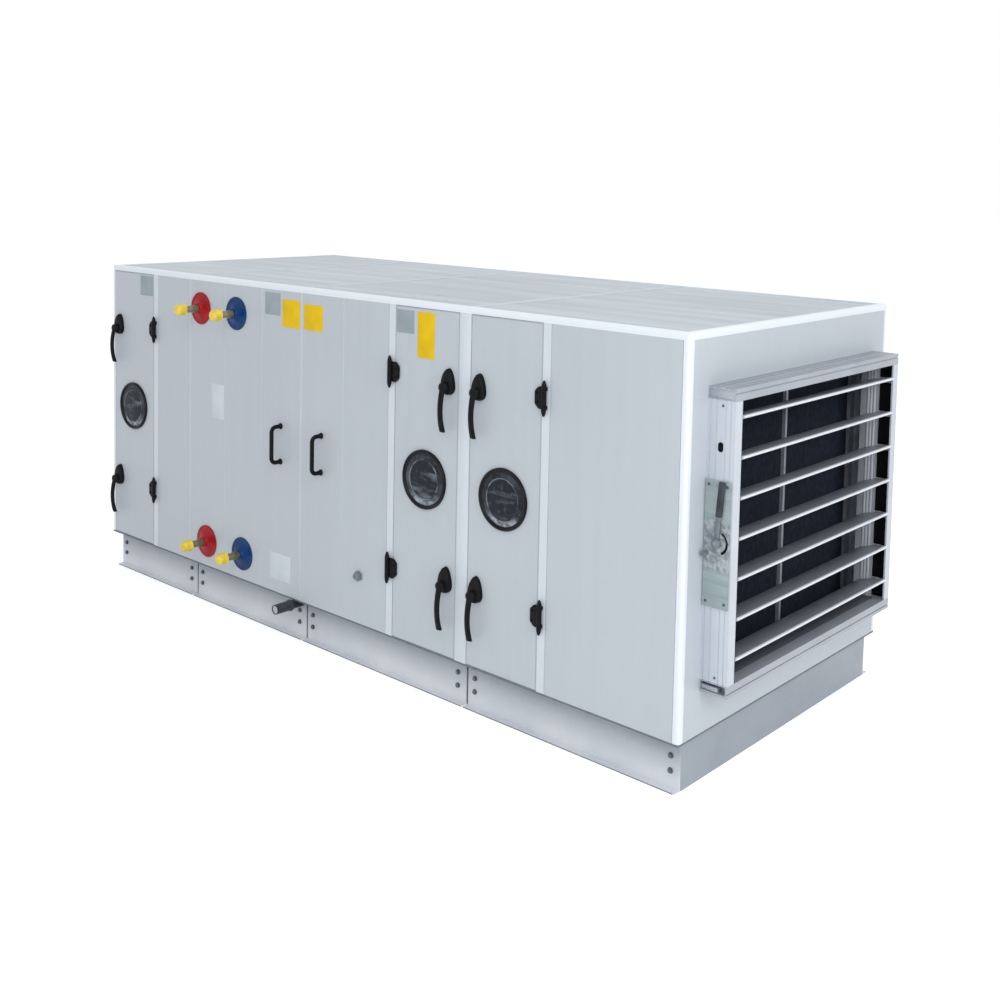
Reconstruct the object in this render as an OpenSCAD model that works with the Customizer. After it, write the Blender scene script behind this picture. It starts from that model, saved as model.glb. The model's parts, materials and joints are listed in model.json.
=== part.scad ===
// Air handling unit: a long double-skin casing on a galvanised base frame,
// with three hinged access doors, two lift-out panels, two pairs of coil
// connections and an intake damper with seven geared blades on its right end.
// Millimetres. The casing is drawn from its front left bottom corner:
// x runs along the front, y runs inwards from the front face, z runs up
// from the top of the base. place() then moves everything to the frame of
// the part, whose origin is the centre of the whole unit on the ground.

/* [Casing] */
// Height of the casing above its base
casing_h = 1200; // [1000:10:1500]
// Depth of the casing from front to back
casing_d = 1280; // [1180:10:1700]
// Thickness of the wall panels, which is also the width of the edge profile
panel_t = 22; // [20:1:50]
// Outer rounding of the edge profile
edge_r = 12; // [4:1:18]
// Width of one door bay
door_w = 308; // [280:1:400]
// Width of one service panel bay
panel_w = 240; // [220:1:320]
// Width of the plain bay beside the damper end
end_panel_w = 484; // [340:1:700]
// Width of a single upright between bays
mullion_w = 32; // [30:1:50]
// Width of the double upright where two sections meet
joint_post_w = 52; // [44:1:90]
// Seam between two fixed panels
panel_gap = 3; // [1:0.5:6]
// How far the roof sheets lie below the edge profile
roof_drop = 3; // [1:0.5:8]

/* [Base frame] */
// Height of the base frame
base_h = 160; // [100:5:250]
// How far the long rails stand back from the front and back faces
base_inset = 40; // [34:1:80]
// How far the end rails stand back from the casing ends
base_end_inset = 18; // [8:1:60]
// Width of the bottom flange that the long rails turn outwards
base_flange = 26; // [15:1:33]
// Width of the top flange that the rails turn inwards
base_top_flange = 45; // [20:1:90]
// Sheet thickness of the rails
base_sheet = 4; // [2:0.5:8]
// Gap between the base frames of two sections
base_gap = 8; // [3:0.5:20]

/* [Doors] */
// Running clearance all round a door leaf
door_gap = 5; // [5:0.5:8]
// Width of the stop that the uprights hold behind a door leaf
door_stop = 14; // [9:1:30]
// Height of the inspection windows
window_z = 590; // [450:1:700]
// Outer diameter of the inspection windows
window_d = 205; // [150:1:230]
// Width of the window's raised rim
window_rim = 20; // [12:1:30]
// Height of the rim above the door
window_proud = 11; // [6:0.5:20]
// Height of the lower hinges
hinge_z_low = 246; // [200:1:300]
// Distance of the upper hinges below the casing's top
hinge_drop = 257; // [200:1:350]
// Length of a hinge's barrel with its tips
hinge_len = 115; // [90:1:150]
// Radius of a hinge's barrel
hinge_r = 8; // [6:0.5:10]
// Height of the lower latch handles
latch_z_low = 250; // [220:1:320]
// Distance of the upper latch handles below the casing's top
latch_drop = 275; // [200:1:350]
// Distance of the latch handles from the door bay's free side
latch_inset = 44; // [40:1:60]

/* [Latch handles] */
// Radius of the round end of a latch base
latch_base_r = 28; // [20:1:32]
// Height of the pointed end of a latch base above its pivot
latch_tip = 62; // [40:1:75]
// Height of a latch base above the door
latch_base_h = 22; // [16:1:30]
// Distance from a latch's pivot to the end of its lever
lever_drop = 146; // [120:1:180]
// Bow of the lever away from the door
lever_bow = 12; // [8:1:25]
// Width of the lever
lever_w = 23; // [14:1:26]
// Thickness of the lever
lever_t = 15; // [8:1:16]

/* [Coil connections] */
// Diameter of the wall rosettes
rosette_d = 132; // [100:1:150]
// Outer diameter of the pipes
pipe_d = 27; // [20:1:34]
// Distance from the front face to the outer end of the caps
pipe_reach = 124; // [110:1:200]
// Diameter of the protective caps
cap_d = 48; // [40:1:60]
// Length of the protective caps
cap_len = 44; // [30:1:60]
// Distance of the upper connections below the casing's top
pipe_drop = 136; // [120:1:300]
// Height of the lower connections
pipe_z_low = 102; // [90:1:200]
// Distance of the upper connections from the left side of their panel
pipe_x_high = 75; // [70:1:100]
// Distance of the lower connections from the left side of their panel
pipe_x_low = 121; // [100:1:140]

/* [Small fittings] */
// Length of the pull handles on the lift-out panels
pull_len = 154; // [120:1:200]
// Distance of the pull handles' grip from the panel
pull_reach = 52; // [40:1:70]
// Diameter of the pull handles' grip
pull_d = 16; // [14:1:26]
// Height of the pull handles
pull_z = 586; // [450:1:700]
// Outer diameter of the condensate drain
drain_d = 38; // [25:1:44]
// Distance of the drain's end in front of the front face
drain_reach = 88; // [60:1:140]
// Length of the drain's spigot for a hose or trap
drain_spigot = 66; // [40:1:90]
// Wall of the drain pipe
drain_wall = 4; // [2:0.5:6]
// Distance of the drain from the second section joint
drain_x = 36; // [30:1:80]
// Height of the sensor gland
gland_z = 176; // [100:1:400]
// Diameter of the sensor gland
gland_d = 40; // [20:1:44]

/* [Damper] */
// Width of the damper frame
damper_w = 1076; // [900:1:1120]
// Height of the damper frame's lower edge above the base
damper_z = 134; // [60:1:160]
// Depth of the damper frame
damper_depth = 94; // [90:1:140]
// Width of the frame's bars
damper_bar = 36; // [30:1:50]
// Distance from one blade's axis to the next
blade_pitch = 119; // [119:0.5:126]
// Width of one blade
blade_chord = 109; // [90:0.5:109]
// Thickness of a blade at its middle
blade_t = 16; // [12:0.5:20]
// Thickness of a blade at its edges
blade_edge = 12; // [6:0.5:12]
// Lean of the blades at rest, outer edge up
blade_tilt = 14; // [0:1:20]
// Gap between a blade's ends and the frame
blade_gap = 5; // [5:0.5:10]
// Radius of the blades' shafts
shaft_r = 7; // [5:0.5:9]
// Length of the damper's hand lever from its shaft
hand_lever = 180; // [90:1:190]

/* [Filter bank] */
// Distance of the filter bank from the damper end's inner face
filter_back = 78; // [40:1:150]
// Depth of the filter bank
filter_depth = 60; // [40:1:100]
// Width of the end bars of the filter bank
filter_bar = 34; // [25:1:50]
// Width of the slim bar between the middle and back filter cells
filter_slim = 12; // [8:1:30]
// Depth of that slim bar
slim_depth = 22; // [10:1:40]
// Width of the front filter cell
filter_cell = 556; // [300:1:560]
// Width of the narrow middle filter cell
filter_narrow = 118; // [90:1:200]

/* [Outlet] */
// Width of the outlet collar on the left end
outlet_w = 640; // [400:1:900]
// Height of the outlet collar
outlet_h = 560; // [400:1:700]
// Height of the outlet collar's lower edge
outlet_z = 300; // [200:1:400]
// How far the collar stands out of the left end
outlet_depth = 60; // [40:1:120]
// Width of the collar's bars
outlet_bar = 30; // [20:1:50]

/* [Hidden] */
$fn = 64;

// Hairline between pieces that meet and are not fused
seat = 0.3;
// Number of service panels between the first and second uprights
service_panels = 6;
blade_count = 7;
lead_blade = 4;

// Places along the front
door_1_x = panel_t;
post_a_x = door_1_x + door_w;
service_x = post_a_x + mullion_w;
post_b_x = service_x + service_panels * panel_w;
door_2_x = post_b_x + mullion_w;
post_c_x = door_2_x + door_w;
door_3_x = post_c_x + joint_post_w;
post_d_x = door_3_x + door_w;
end_panel_x = post_d_x + mullion_w;
casing_l = end_panel_x + end_panel_w + panel_t;
door_x = [door_1_x, door_2_x, door_3_x];
// The second door hangs on its left upright, the other two on their right
hinge_on_left = [false, true, false];
function service_panel_x(i) = service_x + i * panel_w;

// Section joints, and where each of the four sections begins and ends
joint_x = [service_panel_x(1), service_panel_x(4), post_c_x + joint_post_w / 2];
section_x = [0, joint_x[0], joint_x[1], joint_x[2], casing_l];

// Heights inside the casing
wall_h = casing_h - panel_t;
roof_z = casing_h - panel_t - roof_drop;
leaf_h = wall_h - 2 * door_gap;
leaf_w = door_w - 2 * door_gap;
floor_front = panel_t + door_gap;
pipe_z_high = casing_h - pipe_drop;
hinge_z_high = casing_h - hinge_drop;
latch_z_high = casing_h - latch_drop;

// Damper places
damper_h = blade_count * blade_pitch + 2 * damper_bar;
damper_y = (casing_d - damper_w) / 2;
damper_axis_x = casing_l + damper_depth / 2;
damper_open_w = damper_w - 2 * damper_bar;
damper_open_y = damper_y + damper_bar;
damper_open_z = damper_z + damper_bar;
function blade_z(i) = damper_open_z + (i - 0.5) * blade_pitch;

// Outlet places
outlet_y = (casing_d - outlet_w) / 2;

// Extent of the whole unit and the move to the frame of the part
reach_left = outlet_depth;
reach_right = damper_depth;
origin_x = (casing_l + reach_right - reach_left) / 2;
origin_y = (casing_d - pipe_reach) / 2;
module place() {
    translate([-origin_x, -origin_y, base_h]) children();
}

// Colours of the materials
panel_grey = [0.75, 0.78, 0.80];
profile_white = [0.93, 0.95, 0.97];
upright_grey = [0.83, 0.86, 0.89];
galvanised = [0.68, 0.71, 0.74];
aluminium = [0.72, 0.74, 0.76];
black_plastic = [0.06, 0.06, 0.07];

// Square of side w whose corner at the origin is rounded
module profile_2d(w, r) {
    translate([r, 0]) square([w - r, w]);
    translate([0, r]) square([w, w - r]);
    intersection() {
        square(w);
        translate([r, r]) circle(r);
    }
}

// Plan of the casing with its upright edges rounded
module casing_plan() {
    translate([edge_r, 0]) square([casing_l - 2 * edge_r, casing_d]);
    translate([0, edge_r]) square([casing_l, casing_d - 2 * edge_r]);
    for (x = [edge_r, casing_l - edge_r])
        for (y = [edge_r, casing_d - edge_r])
            translate([x, y]) circle(edge_r);
}

// Wall panel between two places along x, with half a seam at each side
module wall_panel(x0, x1, y) {
    translate([x0 + panel_gap / 2, y, 0])
        cube([x1 - x0 - panel_gap, panel_t, wall_h]);
}

// Four bars round an opening in a plane across x
module ring_bars(depth, bar, w, h, uprights) {
    if (uprights)
        for (y = [0, w - bar])
            translate([0, y, 0]) cube([depth, bar, h]);
    else
        for (z = [0, h - bar])
            translate([0, bar + seat, z]) cube([depth, w - 2 * bar - 2 * seat, bar]);
}

// Slabs that close an end wall round an opening
module end_slabs(y0, z0, w, h) {
    inner_y = panel_t;
    inner_w = casing_d - 2 * panel_t;
    translate([0, inner_y, 0]) cube([panel_t, inner_w, z0 - seat]);
    translate([0, inner_y, z0 + h + seat]) cube([panel_t, inner_w, wall_h - z0 - h - seat]);
    translate([0, inner_y, z0]) cube([panel_t, y0 - inner_y, h]);
    translate([0, y0 + w, z0]) cube([panel_t, inner_y + inner_w - y0 - w, h]);
}

// Base frame

// Section of a long rail: web, top flange inwards, bottom flange outwards
module long_rail_2d() {
    translate([0, -base_h]) square([base_sheet, base_h]);
    translate([0, -base_sheet]) square([base_top_flange, base_sheet]);
    translate([-base_flange, -base_h]) square([base_flange + base_sheet, base_sheet]);
}

// One long rail per section, drawn on the front
module long_rails() {
    for (i = [0 : len(section_x) - 2]) {
        x0 = max(section_x[i] + base_gap / 2, base_end_inset);
        x1 = min(section_x[i + 1] - base_gap / 2, casing_l - base_end_inset);
        translate([x0, base_inset, 0])
            rotate([90, 0, 90]) linear_extrude(x1 - x0) long_rail_2d();
    }
}

drain_axis_x = joint_x[1] - drain_x;
drain_neck_d = drain_d - 4;
drain_axis_z = -base_sheet - drain_d / 2 - seat;
module base_front_rail() {
    color(galvanised) place() difference() {
        long_rails();
        translate([drain_axis_x, base_inset - base_sheet, drain_axis_z])
            rotate([-90, 0, 0]) cylinder(d = drain_neck_d + 2 * seat, h = 3 * base_sheet);
    }
}

module base_back_rail() {
    color(galvanised) place()
        translate([0, casing_d, 0]) mirror([0, 1, 0]) long_rails();
}

// Channel across the unit, its web on x = 0 and its flanges to +x
module cross_channel() {
    run = casing_d - 2 * (base_inset + base_sheet + seat);
    drop = base_sheet + seat;
    translate([0, base_inset + base_sheet + seat, -base_h]) cube([base_sheet, run, base_h - drop]);
    translate([0, base_inset + base_sheet + seat, -drop - base_sheet])
        cube([base_top_flange, run, base_sheet]);
    translate([0, base_inset + base_sheet + seat, -base_h]) cube([base_top_flange, run, base_sheet]);
}

module base_end_rails() {
    color(galvanised) place() {
        translate([base_end_inset, 0, 0]) cross_channel();
        translate([casing_l - base_end_inset, 0, 0]) mirror([1, 0, 0]) cross_channel();
    }
}

module base_cross_rails() {
    color(galvanised) place()
        for (x = joint_x) {
            translate([x + base_gap / 2, 0, 0]) cross_channel();
            translate([x - base_gap / 2, 0, 0]) mirror([1, 0, 0]) cross_channel();
        }
}

// Casing frame

module corner_posts() {
    color(profile_white) place()
        for (mx = [0, 1])
            for (my = [0, 1])
                translate([mx * casing_l, my * casing_d, 0])
                    mirror([mx, 0, 0]) mirror([0, my, 0])
                        linear_extrude(wall_h) profile_2d(panel_t, edge_r);
}

// Edge profile along the top of the front, rounded above and outside
module roof_edge_front() {
    translate([0, 0, casing_h]) rotate([90, 0, 90])
        linear_extrude(casing_l) mirror([0, 1]) profile_2d(panel_t, edge_r);
}

module roof_edge_long() {
    color(profile_white) place() intersection() {
        union() {
            roof_edge_front();
            translate([0, casing_d, 0]) mirror([0, 1, 0]) roof_edge_front();
        }
        linear_extrude(casing_h + panel_t) casing_plan();
    }
}

module roof_edge_side() {
    run = casing_d - 2 * panel_t;
    translate([0, panel_t + run, casing_h]) rotate([90, 0, 0])
        linear_extrude(run) mirror([0, 1]) profile_2d(panel_t, edge_r);
}

module roof_edge_short() {
    color(profile_white) place() {
        roof_edge_side();
        translate([casing_l, 0, 0]) mirror([1, 0, 0]) roof_edge_side();
    }
}

// Upright of width w, with a stop behind the door on its left or right
module upright(w, stop_left) {
    stop_y = panel_t + door_gap;
    cube([w, panel_t, wall_h]);
    cube([w, stop_y + door_gap, roof_z - seat]);
    translate([stop_left ? -door_stop : 0, stop_y, 0])
        cube([w + door_stop, door_gap, roof_z - seat]);
}

module front_uprights() {
    half = (joint_post_w - panel_gap) / 2;
    color(upright_grey) place() {
        translate([post_a_x, 0, 0]) upright(mullion_w, true);
        translate([post_b_x, 0, 0]) upright(mullion_w, false);
        translate([post_c_x, 0, 0]) upright(half, true);
        translate([post_c_x + joint_post_w - half, 0, 0]) upright(half, false);
        translate([post_d_x, 0, 0]) upright(mullion_w, true);
    }
}

// Wall panels

module front_panels() {
    color(panel_grey) place() {
        wall_panel(service_panel_x(0), service_panel_x(1), 0);
        wall_panel(service_panel_x(5), service_panel_x(6), 0);
        wall_panel(end_panel_x, casing_l - panel_t, 0);
    }
}

// Where the coil connections leave the casing: the hot pair, then the cold pair
function coil_places(i) = [
    [service_panel_x(i + 1) + pipe_x_high, pipe_z_high],
    [service_panel_x(i + 1) + pipe_x_low, pipe_z_low]
];
all_coil_places = concat(coil_places(0), coil_places(1));

module coil_panels() {
    color(panel_grey) place() difference() {
        for (i = [1, 2])
            wall_panel(service_panel_x(i), service_panel_x(i + 1), 0);
        for (p = all_coil_places)
            translate([p[0], -1, p[1]]) rotate([-90, 0, 0])
                cylinder(d = pipe_d + 2 * seat, h = panel_t + 2);
    }
}

module access_panels() {
    color(panel_grey) place()
        for (i = [3, 4])
            wall_panel(service_panel_x(i), service_panel_x(i + 1), 0);
}

module back_panels() {
    color(panel_grey) place()
        for (i = [0 : len(section_x) - 2]) {
            x0 = max(section_x[i], panel_t);
            x1 = min(section_x[i + 1], casing_l - panel_t);
            middle = (x0 + x1) / 2;
            wall_panel(x0, middle, casing_d - panel_t);
            wall_panel(middle, x1, casing_d - panel_t);
        }
}

// Sheets of the roof or floor, one per section
module deck(y0, y1, z) {
    for (i = [0 : len(section_x) - 2]) {
        x0 = max(section_x[i] + panel_gap / 2, panel_t);
        x1 = min(section_x[i + 1] - panel_gap / 2, casing_l - panel_t);
        translate([x0, y0, z]) cube([x1 - x0, y1 - y0, panel_t]);
    }
}

module roof_panels() {
    color(panel_grey) place() deck(panel_t, casing_d - panel_t, roof_z);
}

module floor_panels() {
    color(galvanised) place() deck(floor_front + door_gap, casing_d - panel_t, 0);
}

module left_end_panels() {
    color(panel_grey) place()
        end_slabs(outlet_y + outlet_bar, outlet_z + outlet_bar,
                  outlet_w - 2 * outlet_bar, outlet_h - 2 * outlet_bar);
}

module right_end_panels() {
    color(panel_grey) place()
        translate([casing_l - panel_t, 0, 0])
            end_slabs(damper_open_y, damper_open_z, damper_open_w, blade_count * blade_pitch);
}

module outlet_collar() {
    color(aluminium) place() translate([-outlet_depth, outlet_y, outlet_z]) {
        ring_bars(outlet_depth, outlet_bar, outlet_w, outlet_h, true);
        ring_bars(outlet_depth, outlet_bar, outlet_w, outlet_h, false);
    }
}

// Hinges: the axis is the origin and stands before the middle of an upright,
// the door leaf lies on the +x side

hinge_off = hinge_r + 4;
hinge_plate = 5;
hinge_lift = hinge_off - hinge_r;
hinge_tip = 22;
hinge_foot = hinge_r * 1.5;
hinge_reach = mullion_w / 2 + door_gap;
hinge_grip = 20;
barrel_low = hinge_len * 0.3;
barrel_high = hinge_len * 0.7;

module hinge_post_knuckle(z0, z1) {
    translate([0, 0, z0]) cylinder(r = hinge_r, h = z1 - z0);
    translate([-hinge_foot / 2, 0, z0]) cube([hinge_foot, hinge_off, z1 - z0]);
}

module hinge_post_half() {
    translate([0, 0, -hinge_len / 2]) {
        hinge_post_knuckle(hinge_tip, barrel_low - seat);
        hinge_post_knuckle(barrel_high + seat, hinge_len - hinge_tip);
        cylinder(r1 = hinge_r / 3, r2 = hinge_r, h = hinge_tip);
        translate([0, 0, hinge_len - hinge_tip]) cylinder(r1 = hinge_r, r2 = hinge_r / 3, h = hinge_tip);
    }
}

// Door plate seen from the front, from x = from outwards: it tapers over the leaf
module hinge_plate_2d(from) {
    tall = hinge_len / 2 - hinge_tip;
    far = hinge_reach + hinge_grip;
    polygon([[from, -tall], [hinge_reach + 4, -tall], [far, -tall * 0.6],
             [far, tall * 0.6], [hinge_reach + 4, tall], [from, tall]]);
}

module hinge_door_half() {
    knuckle = barrel_high - barrel_low;
    clear = hinge_r + 2;
    translate([0, 0, -knuckle / 2]) cylinder(r = hinge_r, h = knuckle);
    translate([hinge_r / 4, hinge_r - hinge_plate, -knuckle / 2]) cube([hinge_r + 1, hinge_plate, knuckle]);
    translate([0, hinge_r, 0]) rotate([90, 0, 0]) linear_extrude(hinge_plate) hinge_plate_2d(clear);
    translate([0, hinge_off, 0]) rotate([90, 0, 0])
        linear_extrude(hinge_lift + 1) hinge_plate_2d(hinge_reach + 2);
}

function hinge_x(i) = hinge_on_left[i] ? door_x[i] - mullion_w / 2 : door_x[i] + door_w + mullion_w / 2;
hinge_heights = [hinge_z_low, hinge_z_high];

// Puts a hinge half, drawn at its axis, at each hinge of door i
module at_hinges(i) {
    for (z = hinge_heights)
        translate([hinge_x(i), -hinge_off, z])
            mirror([hinge_on_left[i] ? 0 : 1, 0, 0]) children();
}

module post_hinges() {
    color(black_plastic) place()
        for (i = [0 : 2])
            at_hinges(i) hinge_post_half();
}

// Doors

module door_leaf(i) {
    color(panel_grey) place() difference() {
        translate([door_x[i] + door_gap, 0, door_gap]) cube([leaf_w, panel_t, leaf_h]);
        translate([door_x[i] + door_w / 2, -1, window_z]) rotate([-90, 0, 0])
            cylinder(d = window_d - window_rim + 2 * seat, h = panel_t + 2);
    }
}

// Rim, sunken pane and plug of an inspection window, as a section to revolve
module window_2d() {
    rim_r = window_d / 2;
    pane_r = rim_r - window_rim;
    plug_r = rim_r - window_rim / 2;
    bevel = window_proud / 2;
    polygon([
        [0, -bevel], [pane_r, -bevel], [pane_r + bevel, -window_proud],
        [rim_r - bevel, -window_proud], [rim_r, -bevel], [rim_r, 0],
        [plug_r, 0], [plug_r, panel_t], [0, panel_t]
    ]);
}

module door_window(i) {
    color(black_plastic) place()
        translate([door_x[i] + door_w / 2, 0, window_z])
            rotate([-90, 0, 0]) rotate_extrude() window_2d();
}

// Outline with a round end about the origin and a pointed end above it
module leaf_2d(r, tip) {
    shoulder = r * 0.93;
    circle(r);
    polygon([[-shoulder, 0], [shoulder, 0], [0, tip]]);
}

latch_boss_r = latch_base_r - 10;
latch_plate_h = latch_base_h * 0.6;
module latch_base() {
    rotate([90, 0, 0]) {
        linear_extrude(latch_plate_h) leaf_2d(latch_base_r, latch_tip);
        cylinder(r = latch_boss_r, h = latch_base_h);
    }
}

function latch_x(i) = hinge_on_left[i] ? door_x[i] + door_w - latch_inset : door_x[i] + latch_inset;
latch_heights = [latch_z_low, latch_z_high];

module door_fittings(i) {
    color(black_plastic) place() {
        at_hinges(i) hinge_door_half();
        for (z = latch_heights)
            translate([latch_x(i), 0, z]) latch_base();
    }
}

// Bowed lever that hangs from a round hub on the latch base
hub_h = 18;
module latch_lever() {
    lever_y = latch_base_h + seat + hub_h / 2;
    half_run = lever_drop / 2;
    bow_r = (half_run * half_run + lever_bow * lever_bow) / (2 * lever_bow);
    half_turn = asin(half_run / bow_r);
    translate([0, -latch_base_h - seat, 0]) rotate([90, 0, 0]) cylinder(r = latch_boss_r, h = hub_h);
    translate([0, bow_r - lever_bow - lever_y, -half_run])
        rotate([0, 90, 0]) rotate([0, 0, 270 - half_turn])
            rotate_extrude(angle = 2 * half_turn)
                translate([bow_r, 0]) square([lever_t, lever_w], center = true);
    translate([-lever_w / 2, -lever_y, -lever_drop])
        rotate([0, 90, 0]) cylinder(d = lever_t * 1.1, h = lever_w);
}

module door_lever(i, z) {
    color(black_plastic) place()
        translate([latch_x(i), 0, z]) latch_lever();
}

// Coil connections

rosette_lip = 5;
rosette_hub = 22;
module rosette_2d() {
    bore = pipe_d / 2 + seat;
    polygon([
        [bore, 0], [rosette_d / 2, 0], [rosette_d / 2, rosette_lip],
        [pipe_d / 2 + rosette_lip + 6, rosette_hub / 2],
        [pipe_d / 2 + rosette_lip, rosette_hub], [bore, rosette_hub]
    ]);
}

module rosettes(places) {
    for (p = places)
        translate([p[0], 0, p[1]]) rotate([90, 0, 0]) rotate_extrude() rosette_2d();
}

module hot_rosettes() {
    color([0.69, 0.13, 0.16]) place() rosettes(coil_places(0));
}

module cold_rosettes() {
    color([0.06, 0.25, 0.51]) place() rosettes(coil_places(1));
}

cap_wall = 5;
module coil_pipes() {
    length = panel_t + pipe_reach - cap_wall - seat;
    color([0.55, 0.52, 0.47]) place()
        for (p = all_coil_places)
            translate([p[0], panel_t, p[1]]) rotate([90, 0, 0]) cylinder(d = pipe_d, h = length);
}

module pipe_caps() {
    color([0.90, 0.80, 0.25]) place()
        for (p = all_coil_places)
            translate([p[0], -pipe_reach, p[1]]) rotate([-90, 0, 0]) difference() {
                cylinder(d = cap_d, h = cap_len);
                translate([0, 0, cap_wall]) cylinder(d = pipe_d + 2 * seat, h = cap_len);
            }
}

// Small fittings

module pull_handle() {
    bend = pull_d * 1.2;
    grip = pull_len - 2 * bend - pull_d;
    leg = pull_reach - bend - pull_d / 2;
    foot = pull_len / 2 - pull_d / 2;
    for (side = [-1, 1]) {
        translate([0, -leg, side * foot]) rotate([-90, 0, 0]) cylinder(d = pull_d, h = leg);
        translate([0, -leg, side * (foot - bend)])
            rotate([0, side > 0 ? -90 : 90, 0])
                rotate([0, 0, -90])
                    rotate_extrude(angle = 90) translate([bend, 0]) circle(d = pull_d);
    }
    translate([0, -leg - bend, -grip / 2]) cylinder(d = pull_d, h = grip);
}

module pull_handles() {
    color(black_plastic) place()
        for (i = [3, 4])
            translate([service_panel_x(i) + panel_w / 2, 0, pull_z]) pull_handle();
}

module drain_stub() {
    color(black_plastic) place()
        translate([drain_axis_x, -drain_reach, drain_axis_z]) rotate([-90, 0, 0])
            difference() {
                length = drain_reach + base_inset + base_sheet;
                union() {
                    cylinder(d = drain_d, h = drain_spigot);
                    cylinder(d = drain_neck_d, h = length);
                }
                translate([0, 0, -1]) cylinder(d = drain_neck_d - 2 * drain_wall, h = length - drain_wall);
            }
}

module sensor_gland() {
    color([0.55, 0.57, 0.60]) place()
        translate([service_panel_x(5) + panel_w * 0.4, 0, gland_z]) rotate([90, 0, 0]) {
            cylinder(d = gland_d, h = 8, $fn = 6);
            cylinder(d = gland_d * 0.7, h = 22);
        }
}

// Filter bank behind the damper

filter_x = casing_l - panel_t - filter_back - filter_depth;
filter_y = floor_front + door_gap;
filter_w = casing_d - panel_t - seat - filter_y;
filter_h = roof_z - panel_t - 2 * seat;
filter_seam = 8;
slim_y = filter_bar + filter_cell + filter_seam + filter_narrow;
back_cell_y = slim_y + filter_slim;
module filter_frame() {
    color(galvanised) place() translate([filter_x, filter_y, panel_t + seat]) {
        for (y = [0, filter_w - filter_bar])
            translate([0, y, 0]) cube([filter_depth, filter_bar, filter_h]);
        translate([filter_depth - slim_depth, slim_y, 0]) cube([slim_depth, filter_slim, filter_h]);
    }
}

// Each cell is [its near side, its width]
filter_cells = [
    [filter_bar, filter_cell],
    [filter_bar + filter_cell + filter_seam, filter_narrow],
    [back_cell_y, filter_w - filter_bar - back_cell_y]
];
module filter_media() {
    color([0.13, 0.14, 0.17]) place()
        for (cell = filter_cells)
            translate([filter_x + 8, filter_y + cell[0] + seat, panel_t + seat])
                cube([filter_depth - 16, cell[1] - 2 * seat, filter_h]);
}

// Damper

flute_w = 4;
flute_d = 3;
// Places of the flutes and of the recess, as shares of the frame's depth
flute_places = [0.12, 0.34, 0.66, 0.84];
recess_from = 0.4;
recess_to = 0.94;
recess_d = 20;
bore_skin = 8;
side_h = blade_count * blade_pitch - 2 * seat;
// Near side of the frame: fluted outside, with a deep recess inside and
// blind bores for the shafts, of which the leading one may pass through
module damper_side(lead_through) {
    difference() {
        cube([damper_depth, damper_bar, side_h]);
        for (p = flute_places)
            translate([p * damper_depth - flute_w / 2, -1, -1]) cube([flute_w, flute_d + 1, side_h + 2]);
        translate([damper_depth * recess_from, damper_bar - recess_d, -1])
            cube([damper_depth * (recess_to - recess_from), recess_d + 1, side_h + 2]);
        for (i = [1 : blade_count]) {
            bore_y = lead_through && i == lead_blade ? -1 : bore_skin;
            translate([damper_depth / 2, bore_y, blade_z(i) - damper_open_z - seat])
                rotate([-90, 0, 0]) cylinder(r = shaft_r + seat, h = damper_bar + 1 - bore_y);
        }
    }
}

module damper_sides() {
    color(aluminium) place() {
        translate([casing_l, damper_y, damper_open_z + seat]) damper_side(true);
        translate([casing_l, damper_y + damper_w, damper_open_z + seat])
            mirror([0, 1, 0]) damper_side(false);
    }
}

rail_wall = 4;
rail_pocket = 26;
// Lower rail of the frame: fluted below, grooved in front, hollow at its ends
module damper_rail() {
    difference() {
        cube([damper_depth, damper_w, damper_bar]);
        for (p = flute_places)
            translate([p * damper_depth - flute_w / 2, -1, -1]) cube([flute_w, damper_w + 2, flute_d + 1]);
        translate([damper_depth - flute_d, -1, damper_bar * 0.3]) cube([flute_d + 1, damper_w + 2, flute_w]);
        for (y = [-1, damper_w - rail_pocket])
            translate([rail_wall, y, flute_d + rail_wall])
                cube([damper_depth - flute_d - 2 * rail_wall, rail_pocket + 1, damper_bar - flute_d - 2 * rail_wall]);
    }
}

module damper_rails() {
    color(aluminium) place() translate([casing_l, damper_y, damper_z]) {
        damper_rail();
        translate([0, 0, damper_h]) mirror([0, 0, 1]) damper_rail();
    }
}

// Blade section: blunt edges, thickest over the middle
module blade_2d() {
    half = blade_chord / 2;
    flat = half * 0.5;
    polygon([
        [-half, -blade_edge / 2], [-flat, -blade_t / 2], [flat, -blade_t / 2], [half, -blade_edge / 2],
        [half, blade_edge / 2], [flat, blade_t / 2], [-flat, blade_t / 2], [-half, blade_edge / 2]
    ]);
}

quadrant_t = 5;
hand_hub_h = 12;
module damper_blade(i) {
    blade_w = damper_open_w - 2 * blade_gap;
    shaft_in = blade_gap + damper_bar - bore_skin - 1;
    shaft_out = i == lead_blade ? blade_gap + damper_bar + quadrant_t + hand_hub_h : shaft_in;
    color(aluminium) place() translate([damper_axis_x, damper_open_y + blade_gap, blade_z(i)]) {
        translate([0, blade_w, 0]) rotate([90, 0, 0])
            linear_extrude(blade_w) rotate(blade_tilt) blade_2d();
        translate([0, -shaft_out, 0]) rotate([-90, 0, 0]) cylinder(r = shaft_r, h = shaft_out + 1);
        translate([0, blade_w - 1, 0]) rotate([-90, 0, 0]) cylinder(r = shaft_r, h = shaft_in + 1);
    }
}

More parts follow.
